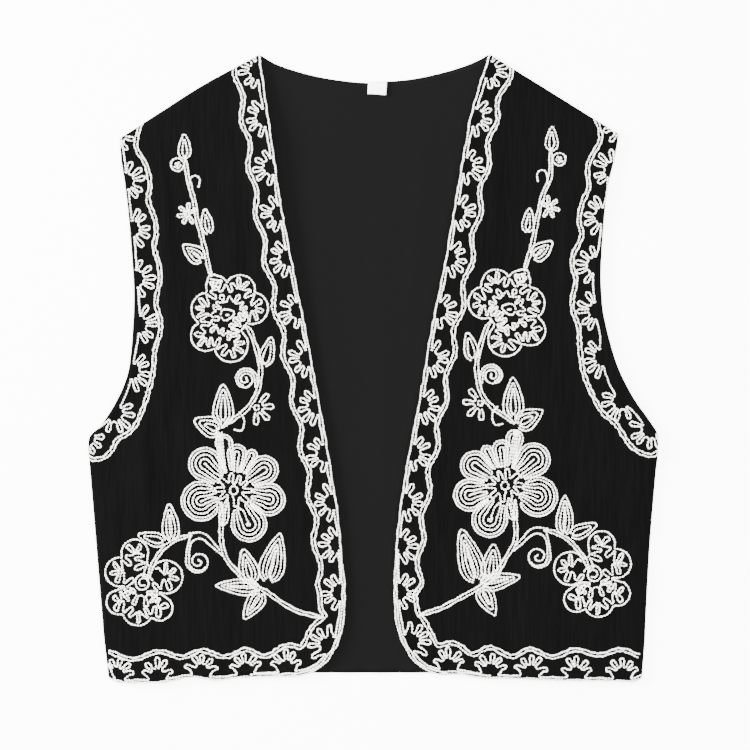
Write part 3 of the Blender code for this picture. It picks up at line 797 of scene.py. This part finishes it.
# Two lines side by side: distance, how far they close in, length of one beat, how much this
# length wanders and how fast, and the share of the distance that is left at closed ends
DOUBLE_APART = 3.1
DOUBLE_CHANGE = 0.42
DOUBLE_BEAT = 6.8
BEAT_WANDER = 1.2
BEAT_WANDER_RATE = 2.3
DOUBLE_CLOSED = 0.35
# Fan loops: shares of the half width at root, belly and shoulder, and where the last two lie
LOOP_WIDTHS = (0.55, 0.95, 0.85)
LOOP_BELLY = 0.55
LOOP_SHOULDER = 0.62
# Leaves: distance between the loops, how much later each loop starts and earlier it ends,
# the least half width and length of the inmost loop
NEST_STEP = 2.9
LEAF_FOOT_STEP = 1.6
LEAF_TIP_STEP = 1.5
LEAF_HEART = 0.7
LEAF_SHORTEST = 3.0
# How nearly a leaf loop closes at its base, how sharp its tip is and how low its belly lies
LEAF_SWEEP = 0.9
LEAF_POINT = 1.6
LEAF_EGG = 0.3
# Big petals: distances between the arcs, and shares for the width at the foot and the legs
PETAL_STEPS = (2.3, 3.2, 3.3, 3.3, 3.3)
PETAL_MOUTH = 0.62
PETAL_LEG = 0.92
PETAL_LEG_STEP = 0.06
# A curl turns this many degrees, and it would close to nothing at so many
CURL_SWEEP = 420
CURL_CLOSING = 560
HALF_STEPS = 12
# Meanders: how square the fingers are, how their places wander and how their ends vary
FILL_SQUARE = 1.7
FILL_WANDER = 0.9
FILL_WANDER_SIZE = 5.3
FILL_UNEVEN = 0.16
FILL_UNEVEN_SIZE = 2.9
OUTLINE_STEP = 0.5
OUTLINE_SOFTEN = 5
MIDDLE_SOFTEN = 4
RAYS = 240
TURN_STEPS = 14


def heading_of(angle):
    """Direction of an angle in degrees: 0 points outwards and 90 points down."""
    turn = math.radians(angle)
    return Vector((math.cos(turn), math.sin(turn)))


def side_way(heading):
    return Vector((-heading.y, heading.x))


def beside(line, distance):
    """A line moved sideways by a distance that may change along the line."""
    moved = []
    run = 0.0
    total = length_of(line)
    for index, spot in enumerate(line):
        before = line[max(index - 1, 0)]
        after = line[min(index + 1, len(line) - 1)]
        if index:
            run += (spot - before).length
        reach = distance(run, total) if callable(distance) else distance
        moved.append(spot + side_way((after - before).normalized()) * reach)
    return moved


def double_line(points, apart=DOUBLE_APART, taper=0.0, beat=DOUBLE_BEAT,
                change=DOUBLE_CHANGE):
    """Two lines side by side, drawn together in a beat, and tapered at both ends."""
    line = even_steps(points, LINE_STEP)

    def half_gap(run, total):
        # The beat itself speeds up and slows down
        turn = 2 * math.pi * run / beat + BEAT_WANDER * math.sin(run / beat * BEAT_WANDER_RATE)
        gap = apart / 2 * (1 - change * (0.5 + 0.5 * math.sin(turn)))
        ends = min(run, total - run) / taper if taper else 1.0
        return gap * min(1.0, DOUBLE_CLOSED + (1 - DOUBLE_CLOSED) * ends)

    return [beside(line, half_gap), beside(line, lambda run, total: -half_gap(run, total))]


def fan_points(centre, facing, angles, root, tips, half_width):
    """Corner points of long loops about a centre, for one line."""
    points = []
    middle = Vector(centre)
    for index, angle in enumerate(angles):
        heading = heading_of(facing + angle)
        way = side_way(heading)
        tip = tips[index] if isinstance(tips, (list, tuple)) else tips
        belly = root + LOOP_BELLY * (tip - root)
        shoulder = tip - LOOP_SHOULDER * half_width
        half = list(zip((root, belly, shoulder), LOOP_WIDTHS))
        points += [middle + heading * far - way * half_width * wide for far, wide in half]
        points.append(middle + heading * tip)
        points += [middle + heading * far + way * half_width * wide for far, wide in half[::-1]]
    return points


def fan(*shape):
    return smooth(fan_points(*shape), steps=5)


def leaf(base, tip, width, layers):
    """Loops inside loops, each from the base round the tip and back."""
    start, end = Vector(base), Vector(tip)
    heading = (end - start).normalized()
    way = side_way(heading)
    step_in = min(NEST_STEP, (width / 2 - LEAF_HEART) / max(layers - 1, 1))
    lines = []
    for layer in range(layers):
        foot = start + heading * (LEAF_FOOT_STEP * layer)
        length = (end - foot).length - LEAF_TIP_STEP * step_in * layer
        half = width / 2 - step_in * layer
        if length < LEAF_SHORTEST:
            break
        route = []
        for step in range(2 * HALF_STEPS + 1):
            angle = math.pi * LEAF_SWEEP * (step / HALF_STEPS - 1)
            forward = length * (1 - abs(math.sin(angle / 2)) ** LEAF_POINT)
            aside = half * math.sin(angle) * (1 - LEAF_EGG * math.cos(angle))
            route.append(foot + heading * forward + way * aside)
        lines.append(route)
    return lines


def seen_from(centre, spots):
    """Places that are given from a centre, as places on the vest."""
    return [Vector(centre) + Vector(spot) for spot in spots]


def whorl(centre, outer, inner, turns, start, tail=()):
    """A spiral from its outer end to its heart, after an optional tail."""
    points = [Vector(spot) for spot in tail]
    steps = round(turns * TURN_STEPS)
    for step in range(steps + 1):
        share = step / steps
        reach = outer + (inner - outer) * share
        points.append(Vector(centre) + heading_of(start + 360 * turns * share) * reach)
    return smooth(points, steps=3)


def scallop(centre, lobes, start, gap):
    """The joint outline of several round lobes about a centre, open at one place."""
    route = []
    for ray in range(RAYS + 1):
        heading = heading_of(start + 360 * ray / RAYS)
        reach = 0.0
        for out, down, radius in lobes:
            forward = out * heading.x + down * heading.y
            aside = out * out + down * down - forward * forward
            if aside < radius * radius:
                reach = max(reach, forward + math.sqrt(radius * radius - aside))
        route.append(Vector(centre) + heading * reach)
    line = even_steps(route, OUTLINE_STEP)
    skip = round(gap / OUTLINE_STEP)
    return line[skip:len(line) - skip]


def soften(line, reach):
    """The line again, with every point at the middle of its neighbours."""
    last = len(line) - 1
    result = []
    for index in range(last + 1):
        span = min(reach, index, last - index)
        near = line[index - span:index + span + 1]
        result.append(sum(near, Vector((0.0, 0.0))) / len(near))
    return result


def meander(line, clear, depth, pitch, seed):
    """Fingers that stand square to the middle of a band on the inner side of a line."""
    middle = even_steps(beside(soften(line, OUTLINE_SOFTEN), clear + depth / 2), OUTLINE_STEP)

    def swing(run, total):
        beat = run + FILL_WANDER * math.sin(run / FILL_WANDER_SIZE + seed)
        wave = FILL_SQUARE * math.sin(2 * math.pi * beat / pitch)
        uneven = 0.9 + FILL_UNEVEN * math.sin(run / FILL_UNEVEN_SIZE + 2.0 * seed)
        return depth / 2 * uneven * min(max(wave, -1.0), 1.0)

    return smooth(beside(soften(middle, MIDDLE_SOFTEN), swing)[::2], steps=3)


def filled(centre, lobes, opening, gap, *fingers):
    """An outline of lobes, and the meander that follows its inner side."""
    outline = scallop(centre, lobes, opening, gap)
    return [outline, meander(outline, *fingers)]


def nested_petal(centre, lobe, layers, spread, legs, curl):
    """Arcs inside arcs as one line, which turns back at each leg and ends in a curl."""
    out, down, radius = lobe
    middle = Vector(centre) + Vector((out, down))
    facing = math.degrees(math.atan2(down, out))
    route = []
    for layer in range(layers):
        reach = radius - sum(PETAL_STEPS[:layer])
        arc = [middle + heading_of(facing + spread * (step / HALF_STEPS - 1)) * reach
               for step in range(2 * HALF_STEPS + 1)]
        foot = middle - heading_of(facing) * (legs * (PETAL_LEG + PETAL_LEG_STEP * layer))
        mouth = side_way(heading_of(facing)) * reach * PETAL_MOUTH
        turn = [foot - mouth, *arc, foot + mouth]
        route += turn[::-1] if layer % 2 else turn
    if curl:
        # The last leg turns into the middle of the petal and runs up to the curl
        inner = max(radius - sum(PETAL_STEPS[:layers]), 0.6)
        side = 1 if layers % 2 else -1
        route += [middle - heading_of(facing) * (inner + legs * share) for share in (0.7, 0.3)]
        for turn in range(0, CURL_SWEEP, 20):
            reach = inner * (1 - turn / CURL_CLOSING)
            route.append(middle + heading_of(facing + 180 - side * turn) * reach)
    return smooth(route, steps=3)


# %% [markdown]
# ## Borders
#
# Two strands run down the free edge and along the hem, and a third one joins them round
# the lower corner. The inner strand leaves the edge at regular places to draw a half sun
# of five loops, and then comes back. The armhole has the same half suns on a single line.
# A waved double line follows inside.

# %% Borders
SUN_KINDS = {
    # heart of the sun inside its line, root, tip, foot, widest angle
    "front": (0.0, 7.4, 15.2, 6.6, 68.0),
    "corner": (3.0, 6.6, 15.0, 7.4, 68.0),
    "hem": (4.4, 5.4, 12.8, 6.8, 78.0),
    "armhole": (-2.4, 8.2, 16.8, 6.2, 62.0),
}
SUN_LOOP_HALF = 1.7
# No two half suns are alike: small changes in degrees and in millimetres
SUN_TURN_CHANGE = 4.0
SUN_TIP_CHANGE = 0.8
PART_SUN_SHORTER = 2.0
EDGE_STRANDS = (
    # run past the lower front corner, distance inside the edge: outer, inner, extra strand
    ((-500.0, 0.9), (-90.0, 0.9), (-60.0, 0.4), (30.0, 0.5), (70.0, 0.7), (230.0, 0.7)),
    ((-500.0, 4.1), (-440.0, 3.8), (-400.0, 3.1), (-90.0, 3.1), (-60.0, 4.2), (30.0, 4.4),
     (70.0, 2.6), (230.0, 2.4)),
    ((-500.0, 2.2), (-60.0, 2.2), (30.0, 2.4), (230.0, 2.4)),
)
# The strands swing a little, in waves whose length wanders too
EDGE_SWING = 0.25
EDGE_SWING_SIZE = 2.9
EDGE_WANDER = 1.4
EDGE_WANDER_SIZE = 7.0
# The extra strand runs from before the corner to a place behind it
THICK_EDGE = (-95.0, 62.0)
CORNER_REACH = 7
HEM_END = ((211.2, 489.2), (208.6, 496.4), (205.2, 503.0))
SUNS = {
    "left": {
        "front": (13.0, 51.0, 89.0, 126.0, 165.0, 203.5, 242.0, 280.5, 318.0, 357.0, 393.0, 431.0),
        "corner": (37.6, 473.0),
        "hem": (69.0, 101.5, 137.0, 172.5, 206.5),
        "armhole": (102.8, 140.4, 180.4, 217.2, 254.8, 288.4),
    },
    "right": {
        "front": (11.5, 51.0, 89.0, 126.0, 165.0, 203.5, 242.0, 280.5, 318.0, 357.0, 393.0, 431.0),
        "corner": (29.6, 470.8),
        "hem": (60.5, 95.0, 125.5, 161.5, 199.5),
        "armhole": (92.4, 129.6, 169.2, 206.4, 243.6, 278.8, 302.0),
    },
}
ARMHOLE_LINE = {
    "left": (
        (201.6, 66.6), (198.6, 86.0), (196.8, 102.8), (195.2, 112.0), (193.0, 132.0),
        (192.0, 140.4), (190.2, 155.0), (188.8, 180.4), (187.8, 190.0), (186.6, 208.0),
        (186.4, 217.2), (189.6, 237.2), (191.4, 246.8), (192.0, 254.8), (196.8, 270.8),
        (201.6, 281.2), (205.6, 288.4), (212.0, 293.6), (219.0, 299.4),
    ),
    "right": (
        (196.0, 64.6), (195.6, 76.0), (193.2, 85.0), (190.8, 92.4), (188.0, 100.0),
        (187.0, 112.0), (182.8, 129.6), (182.4, 139.6), (180.0, 157.2), (176.8, 169.2),
        (176.0, 185.2), (177.6, 199.6), (177.6, 206.4), (181.6, 225.2), (181.6, 237.2),
        (182.4, 243.6), (188.0, 261.2), (193.6, 272.4), (197.6, 278.8), (207.2, 285.2),
        (216.0, 296.0), (221.2, 302.0), (229.0, 306.0),
    ),
}
PART_SUNS = {
    # centre, direction and angles of the loops where a seam cuts a sun
    "left": (((230.0, 306.8), 142.0, (-54.0, -26.0, 5.0, 38.0)),
             ((205.6, 65.2), 150.0, (-24.0, 16.0))),
    "right": (((199.0, 58.8), 150.0, (-22.0, 18.0)),),
}
BORDER_INSET = 20.2
BORDER_SWING = 2.2
BORDER_PITCH = 38.1
BORDER_FIRST_CREST = 13.0
BORDER_LAST = 425.0
BORDER_FOOT = {
    "left": (
        (42.5, 433.0), (42.3, 440.0), (41.0, 446.0), (38.4, 450.0), (44.0, 454.4),
        (49.5, 459.8), (53.0, 467.0), (57.5, 474.6), (65.0, 473.5), (72.0, 474.4),
        (86.4, 482.4), (101.6, 477.0), (118.4, 482.8), (136.4, 477.6), (153.6, 483.2),
        (171.2, 478.4), (191.6, 484.6), (210.5, 479.0),
    ),
    "right": (
        (33.6, 433.0), (34.6, 440.0), (36.0, 447.0), (38.6, 450.6), (42.4, 456.0),
        (47.0, 464.6), (52.0, 473.2), (61.6, 471.6), (69.6, 473.6), (79.6, 480.8),
        (93.6, 475.2), (111.2, 482.4), (125.6, 476.4), (143.6, 482.8), (161.6, 477.0),
        (180.4, 481.2), (198.0, 477.0), (212.0, 481.6),
    ),
}
ARMHOLE_BORDER = {
    "left": (
        (185.4, 56.0), (187.4, 61.0), (189.4, 75.2), (181.6, 89.2), (178.4, 105.2), (180.0, 117.2),
        (174.4, 133.2), (173.6, 145.2), (175.2, 154.8), (171.2, 169.2), (170.4, 181.2),
        (173.6, 198.8), (170.0, 213.2), (170.4, 224.0), (174.4, 237.2), (176.0, 254.8),
        (181.6, 277.2), (187.2, 292.0), (193.6, 302.0), (204.4, 309.2), (209.0, 317.6),
        (216.0, 323.6), (223.6, 324.8), (228.0, 322.6),
    ),
    "right": (
        (178.4, 52.4), (180.8, 58.6), (182.0, 69.2), (174.4, 83.2), (171.6, 93.2), (172.6, 107.2),
        (167.6, 119.2), (164.8, 133.2), (167.0, 146.0), (160.4, 160.4), (159.6, 171.2),
        (162.4, 181.2), (159.6, 195.2), (160.0, 206.0), (164.6, 219.2), (165.6, 236.0),
        (168.4, 255.2), (175.6, 273.2), (183.6, 287.2), (194.8, 297.2), (205.6, 313.2),
        (214.0, 319.2), (223.0, 321.6), (228.4, 318.6),
    ),
}


def half_sun(kind, number):
    """One half sun about (0, 0): the first value runs inwards, the second along the edge."""
    heart, root, tip, foot, wide = SUN_KINDS[kind]
    angles = [wide * (index / 2 - 1) + SUN_TURN_CHANGE * math.sin(1.9 * number + 2.7 * index)
              for index in range(5)]
    tips = [tip + SUN_TIP_CHANGE * math.sin(2.3 * number + 1.3 * index) for index in range(5)]
    loops = fan_points((heart, 0.0), 0.0, angles, root, tips, SUN_LOOP_HALF)
    return smooth([Vector((0.0, -foot)), *loops[1:-1], Vector((0.0, foot))], steps=5)


def trim_line(line, turn, marks):
    """The line again, with a half sun at every mark, which names its kind and its place."""
    line = even_steps(line, LINE_STEP)
    route = []
    start = 0
    for number, (kind, mark) in enumerate(marks):
        foot = SUN_KINDS[kind][3]
        reach = round(foot + 1)
        index = min(range(len(line)), key=lambda i: (line[i] - Vector(mark)).length)
        heading = line[min(index + reach, len(line) - 1)] - line[max(index - reach, 0)]
        heading.normalize()
        inward = side_way(heading) * turn
        route += line[start:max(start, index - reach)]
        route += [line[index] + inward * v + heading * u for v, u in half_sun(kind, number)]
        start = index + reach
    return route + line[start:]


def on_curve(curve, axis, value):
    """The point of a curve where out (axis 0) or down (axis 1) has this value."""
    return min(curve, key=lambda spot: abs(spot[axis] - value))


def border_lines(side):
    outline = OUTLINES[side]
    suns = SUNS[side]
    front = smooth(outline["front"])[::-1]
    hem = smooth(outline["hem"])[::-1]
    edge = soften(even_steps(front + hem[1:], LINE_STEP), CORNER_REACH)
    marks = [("front", on_curve(front, 1, down)) for down in suns["front"]]
    marks += [("corner", suns["corner"])]
    marks += [("hem", on_curve(hem, 0, out)) for out in suns["hem"]]
    turn_at = length_of(front)

    def strand(number):
        def inset(run, total):
            wander = EDGE_WANDER * math.sin(run / EDGE_WANDER_SIZE)
            swing = EDGE_SWING * math.sin(run / EDGE_SWING_SIZE + wander + 2 * number)
            return -along(EDGE_STRANDS[number], run - turn_at) + swing
        return beside(edge, inset)

    lines = [strand(0), trim_line(strand(1), -1, marks)]
    low, high = THICK_EDGE
    lines.append([spot for step, spot in enumerate(strand(2)) if low < step - turn_at < high])
    armhole = smooth(ARMHOLE_LINE[side])
    marks = [("armhole", on_curve(armhole, 1, down)) for down in suns["armhole"]]
    lines.append(trim_line(armhole, 1, marks))
    root, tip = SUN_KINDS["armhole"][1:3]
    for centre, facing, angles in PART_SUNS[side]:
        lines.append(fan(centre, facing, angles, root, tip - PART_SUN_SHORTER, SUN_LOOP_HALF))
    lines += double_line(smooth(ARMHOLE_BORDER[side]))
    if side == "left":
        lines.append(smooth(HEM_END))

    def wave(run, total):
        beat = 2 * math.pi * (run - BORDER_FIRST_CREST) / BORDER_PITCH
        return -(BORDER_INSET + BORDER_SWING * math.cos(beat))

    waved = beside(even_steps(front, 2 * LINE_STEP), wave)
    start = [spot for spot in waved if spot.y < BORDER_LAST]
    lines += double_line(start + smooth(BORDER_FOOT[side]))
    return lines


borders = both_fronts("borders", border_lines)

# %% [markdown]
# ## Vines
#
# The vines carry the flowers. Their stems are double lines that close at the ends, and
# leaves, spirals, hooks and daisies grow from them. Both fronts show the same vine, the
# right one a little higher and closer to the edge.

# %% Vines
STEMS = {
    # distance between the two lines, then the route
    "left": (
        (2.9, (150.4, 84.0), (148.6, 97.0), (146.2, 107.0), (143.0, 119.0),
         (140.4, 134.0), (136.6, 148.0), (133.6, 161.0), (131.2, 172.0), (129.4, 177.6)),
        (2.9, (102.6, 218.2), (98.4, 222.0), (93.0, 237.0), (89.8, 253.0), (92.6, 271.0),
         (101.0, 284.5), (111.0, 292.0), (120.0, 298.6)),
        (2.9, (121.6, 360.0), (121.6, 376.0), (121.0, 391.0), (117.4, 404.0), (106.5, 417.0),
         (97.0, 424.6), (85.5, 430.5), (72.0, 440.0), (59.0, 446.6), (41.0, 451.0)),
        (2.7, (146.0, 385.4), (156.0, 388.4), (165.6, 394.2), (171.6, 401.0),
         (177.0, 411.0), (180.0, 420.0)),
    ),
    "right": (
        (2.9, (142.4, 77.4), (141.8, 98.0), (136.6, 111.5), (132.0, 129.0),
         (128.4, 148.0), (125.0, 161.0), (121.4, 173.0)),
        (2.9, (94.2, 214.4), (90.6, 220.0), (84.6, 239.0), (83.0, 254.0), (86.6, 271.5),
         (96.0, 283.6), (105.0, 289.6), (112.6, 295.6)),
        (2.9, (114.0, 358.0), (114.0, 374.0), (114.0, 389.0), (107.0, 403.0), (99.0, 415.0),
         (90.0, 423.6), (80.0, 430.0), (65.0, 438.2), (54.0, 444.0), (38.0, 449.0)),
        (2.7, (137.6, 381.2), (146.0, 383.4), (156.0, 389.0), (163.4, 396.4),
         (169.4, 405.0), (172.6, 414.0)),
    ),
}
LEAVES = (
    # width, layers, then base and tip (out, down) on the left and on the right front
    (9.6, 2, (150.6, 84.0), (151.0, 64.5), (142.8, 77.6), (143.4, 59.0)),
    (9.0, 2, (131.6, 144.0), (134.6, 124.4), (123.4, 143.0), (125.4, 123.6)),
    (13.0, 3, (136.2, 165.4), (152.0, 153.0), (127.8, 163.4), (143.6, 150.6)),
    (10.8, 2, (87.0, 249.6), (81.2, 226.8), (80.2, 245.0), (75.4, 223.0)),
    (15.6, 3, (119.8, 296.6), (119.8, 264.6), (112.4, 292.0), (112.0, 259.4)),
    (15.6, 3, (122.0, 302.0), (143.0, 293.0), (115.4, 297.6), (135.4, 285.6)),
    (12.8, 3, (161.2, 389.4), (163.2, 360.4), (153.0, 385.0), (153.8, 353.8)),
    (10.6, 2, (167.0, 391.0), (188.0, 385.0), (158.4, 385.6), (179.2, 376.4)),
    (19.0, 4, (84.0, 422.8), (74.4, 384.4), (83.2, 422.8), (70.4, 380.4)),
    (15.0, 3, (96.8, 423.6), (104.0, 396.4), (93.6, 421.2), (96.8, 392.4)),
    (12.6, 3, (92.0, 427.6), (125.6, 425.6), (86.4, 425.2), (117.6, 418.6)),
    (13.4, 3, (89.0, 431.0), (103.2, 452.6), (86.4, 427.6), (97.6, 449.2)),
)
STEM_STYLE = {"taper": 6.0, "beat": 11.0, "change": 0.26}
RIGHT_SHIFT = Vector((-7.5, -4.5))
CURL_HEART = (156.5, 89.0)
CURL_TURNS = (
    # radius outside, radius inside, number of turns, direction of the start
    (5.2, 5.2, 1.0, -20.0), (2.9, 0.6, 1.6, 40.0),
)
HOOKS = (
    ((147.4, 108.0), (146.2, 100.0), (142.5, 97.6), (138.8, 100.2), (139.4, 106.0)),
    ((106.4, 287.6), (103.6, 291.4), (103.0, 297.2), (105.6, 301.6), (110.4, 301.0)),
)
DAISY = ((148.2, 128.2), (140.8, 122.8))
DAISY_ANGLES = (-150.0, -95.0, -40.0, 15.0, 65.0, 118.0)
# Root, tip and half width of the loops of the daisies
DAISY_LOOPS = (1.4, 8.6, 1.1)
HALF_DAISY = ((93.0, 283.2), (86.0, 279.6))
HALF_DAISY_FACING = 160.0
HALF_DAISY_ANGLES = (-73.0, -25.0, 24.0, 71.0)
HALF_DAISY_LOOPS = (5.4, 13.8, 1.9)
HALF_DAISY_HEART = (2.4, 1.8, 1.1, 0.0)
UPPER_SPIRAL = ((102.0, 260.6), (95.4, 257.6))
LOWER_SPIRAL = ((139.6, 406.4), (132.0, 402.4))
UPPER_TURNS = (
    # the same four values, then the tail that leads to the spiral, seen from its heart
    (9.6, 1.0, 2.05, 195.0, ((-9.6, 4.4),)),
    (7.4, 5.4, 0.62, 200.0, ((-8.0, 5.4),)),
)
LOWER_TURNS = (
    (10.2, 1.2, 1.7, -8.0, ((6.6, -19.8), (8.6, -12.0))),
    (7.8, 7.4, 0.42, -16.0,
     ((-18.8, -5.2), (-12.0, -10.6), (-5.4, -16.6), (0.0, -18.4), (5.0, -16.0), (7.4, -9.0))),
)
ARCH = ((-16.6, -9.6), (-12.4, -14.8), (-7.6, -20.4), (-1.2, -23.4), (6.8, -22.6))


def vine_lines(side):
    right = side == "right"
    shift = RIGHT_SHIFT if right else Vector((0.0, 0.0))
    lines = []
    for apart, *route in STEMS[side]:
        lines += double_line(smooth(route), apart, **STEM_STYLE)
    for width, layers, left_base, left_tip, right_base, right_tip in LEAVES:
        base, tip = (right_base, right_tip) if right else (left_base, left_tip)
        lines += leaf(base, tip, width, layers)
    curl = Vector(CURL_HEART) + shift
    lines += [whorl(curl, *turns) for turns in CURL_TURNS]
    for hook in HOOKS:
        lines.append(smooth([Vector(spot) + shift for spot in hook]))
    lines.append(fan(DAISY[right], 0.0, DAISY_ANGLES, *DAISY_LOOPS))
    lines.append(fan(HALF_DAISY[right], HALF_DAISY_FACING, HALF_DAISY_ANGLES, *HALF_DAISY_LOOPS))
    lines.append(whorl(HALF_DAISY[right], *HALF_DAISY_HEART))
    for heart, turns in ((UPPER_SPIRAL[right], UPPER_TURNS), (LOWER_SPIRAL[right], LOWER_TURNS)):
        for *shape, tail in turns:
            lines.append(whorl(heart, *shape, tail=seen_from(heart, tail)))
    lines.append(smooth(seen_from(LOWER_SPIRAL[right], ARCH)))
    return lines


vines = both_fronts("vines", vine_lines)

# %% [markdown]
# ## Flowers
#
# The upper and the low flower have an outline of round lobes. A meander follows this
# outline, so that its fingers fan out in every lobe. The upper flower has a second meander
# round its heart, and the low flower has a fan and a spiral. The petals of the big flower
# are arcs inside arcs, laid by a needle that keeps turning back, with a last short line up
# the middle.

# %% Flowers
UPPER_FLOWER = ((116.0, 209.2), (108.2, 204.8))
UPPER_LOBES = (
    # out and down from the centre, radius
    (-9.6, -20.0, 12.0), (-19.2, -5.6, 12.8), (-2.4, 24.0, 13.6),
    (17.6, 16.8, 12.0), (16.0, -4.8, 13.2), (8.8, -22.4, 8.8),
)
UPPER_PEAK = (12.0, -28.0, 4.4)
UPPER_MIDDLE = (0.0, 0.0, 16.0)
# The inner meander runs round a smaller copy of the lobes
CORE_PLACE = 0.54
CORE_SIZE = 0.5
CORE_MIDDLE = (0.0, 0.0, 11.0)
UPPER_DROP = ((5.6, 0.8), (-5.4, -2.2))
UPPER_DROP_WIDTH = 8.4
UPPER_KNOT = (1.2, 0.4, 1.0, 0.0)
BIG_FLOWER = ((111.4, 349.2), (105.6, 345.6))
BIG_PETALS = (
    # out and down from the centre, radius, layers, spread, does it end in a curl
    (23.0, -20.8, 12.9, 4, 118.0, True), (26.2, 8.8, 15.6, 5, 124.0, True),
    (-12.2, 27.2, 14.0, 4, 112.0, True), (-28.2, 7.6, 12.6, 4, 124.0, True),
    (-24.2, -16.0, 11.2, 4, 104.0, False), (-14.6, -28.0, 4.0, 2, 90.0, False),
    (-2.6, -28.8, 7.4, 3, 100.0, False), (7.8, -37.6, 6.6, 2, 96.0, False),
)
# Legs of the petals end this far from the centre
PETAL_FOOT = 16.0
BIG_HEART = ((-2.0, 1.0, 13.0), (3.0, -1.0, 12.4))
BIG_KNOT = (3.4, 3.0, 1.0, 40.0)
# A short stem filled with straight rows joins the second stem to the big flower
FILLED_STEM = (((123.4, 304.0), (120.6, 331.0)), ((115.2, 303.0), (112.0, 327.0)))
FILLED_STEM_ROWS = (-2.25, -0.75, 0.75, 2.25)
BUD = (((120.4, 377.0), (116.6, 357.0)), ((112.4, 372.8), (108.4, 355.6)))
BUD_WIDTH = 6.8
LOW_FLOWER = ((184.0, 423.6), (176.4, 416.8))
LOW_LOBES = (
    (6.4, -24.0, 10.8), (18.4, -8.8, 11.6), (19.2, 15.2, 10.0),
    (4.0, 21.6, 12.4), (-13.6, 20.0, 10.0), (-18.4, -4.8, 13.2),
)
LOW_MIDDLE = (0.0, 0.0, 15.0)
LOW_FAN_FACING = 82.0
LOW_FAN_ANGLES = (-48.0, -16.0, 16.0, 46.0)
LOW_FAN_LOOPS = (11.0, 19.0, 1.6)
LOW_HEART = (7.6, 2.0, 1.75, 200.0)
FILLS = {
    # where the outline is open and by how much, then the distance of the fingers from it,
    # their depth and pitch, and the seed of their unevenness
    "upper": (-66.0, 1.0, 2.5, 7.8, 5.8, 0.6),
    "upper core": (-20.0, 1.5, -0.4, 6.0, 5.4, 1.9),
    "big heart": (70.0, 1.0, 0.0, 7.4, 6.6, 1.1),
    "low": (-118.0, 1.0, 2.5, 8.2, 6.2, 2.4),
}


def flower_lines(side):
    right = side == "right"
    centre = UPPER_FLOWER[right]
    lines = filled(centre, [*UPPER_LOBES, UPPER_MIDDLE, UPPER_PEAK], *FILLS["upper"])
    core = [(out * CORE_PLACE, down * CORE_PLACE, radius * CORE_SIZE)
            for out, down, radius in UPPER_LOBES]
    lines += filled(centre, [*core, CORE_MIDDLE], *FILLS["upper core"])[1:]
    lines += leaf(*seen_from(centre, UPPER_DROP), UPPER_DROP_WIDTH, 1)
    lines.append(whorl(centre, *UPPER_KNOT))

    centre = BIG_FLOWER[right]
    for out, down, radius, layers, spread, curl in BIG_PETALS:
        legs = math.hypot(out, down) - PETAL_FOOT
        lines.append(nested_petal(centre, (out, down, radius), layers, spread, legs, curl))
    lines += filled(centre, BIG_HEART, *FILLS["big heart"])[1:]
    lines.append(whorl(centre, *BIG_KNOT))
    stem = [Vector(spot) for spot in FILLED_STEM[right]]
    lines += [beside(stem, place) for place in FILLED_STEM_ROWS]
    lines += leaf(*BUD[right], BUD_WIDTH, 2)

    centre = LOW_FLOWER[right]
    lines += filled(centre, [*LOW_LOBES, LOW_MIDDLE], *FILLS["low"])
    lines.append(fan(centre, LOW_FAN_FACING, LOW_FAN_ANGLES, *LOW_FAN_LOOPS))
    lines.append(whorl(centre, *LOW_HEART))
    return lines


flowers = both_fronts("flowers", flower_lines)

# %% [markdown]
# ## The neck label
#
# A short piece of white woven tape is sewn under the neck edge, so that it hangs a little
# askew inside the back. It is left bare.

# %% The neck label
LABEL_WIDTH = 14.8
LABEL_HEIGHT = 10.4
LABEL_THICK = 0.5
LABEL_PLACE = (3.4, 27.4)
LABEL_TURN = -4.0
LABEL_FLOOR = 1.4
LABEL_CURVE = 0.5
# One lower corner stands up less than the other, as this share
LABEL_LOW_CORNER = 0.4
LABEL_ROWS, LABEL_CELLS = 8, 12


def make_label():
    turn = math.radians(LABEL_TURN)
    rows = []
    for row in range(LABEL_ROWS + 1):
        line = []
        for cell in range(LABEL_CELLS + 1):
            across, up = cell / LABEL_CELLS, row / LABEL_ROWS
            u = (across - 0.5) * LABEL_WIDTH
            v = (up - 0.5) * LABEL_HEIGHT
            x = LABEL_PLACE[0] + u * math.cos(turn) - v * math.sin(turn)
            y = LENGTH / 2 - LABEL_PLACE[1] + u * math.sin(turn) + v * math.cos(turn)
            askew = LABEL_LOW_CORNER + (1 - LABEL_LOW_CORNER) * across
            bow = LABEL_CURVE * (1 - up) * askew
            line.append((x, y, LABEL_FLOOR + bow))
        rows.append(line)
    thickness = [[LABEL_THICK] * len(line) for line in rows]
    return cloth_shell("woven_label", rows, thickness, tape, False)[0]


label = make_label()

# %% [markdown]
# ## Join the picture model to the frame
#
# Every piece hides the CAD solids that it stands for.
# The vest has no joints, so all of it rides on the one body.

# %% Join the picture model to the frame
names = list(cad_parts)
MOTIFS = {
    "borders": ("edge_line", "border_line", "armhole_line", "armhole_border_line"),
    "vines": ("stem_", "leaf_", "spiral_", "daisy_"),
    "flowers": ("flower_",),
}


def solids(starts, side):
    return [name for name in names if name.startswith(starts) and name.endswith("_" + side)]


def join(item, node_names):
    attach(item, "root")
    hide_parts(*node_names)
    print(item.name, "stands for", len(node_names), "solids")


join(back, ["back_panel"])
join(label, ["neck_label"])
for side in ("left", "right"):
    join(fronts[side], ["front_" + side])
    for kind, group in (("borders", borders), ("vines", vines), ("flowers", flowers)):
        join(group[side], solids(MOTIFS[kind], side))
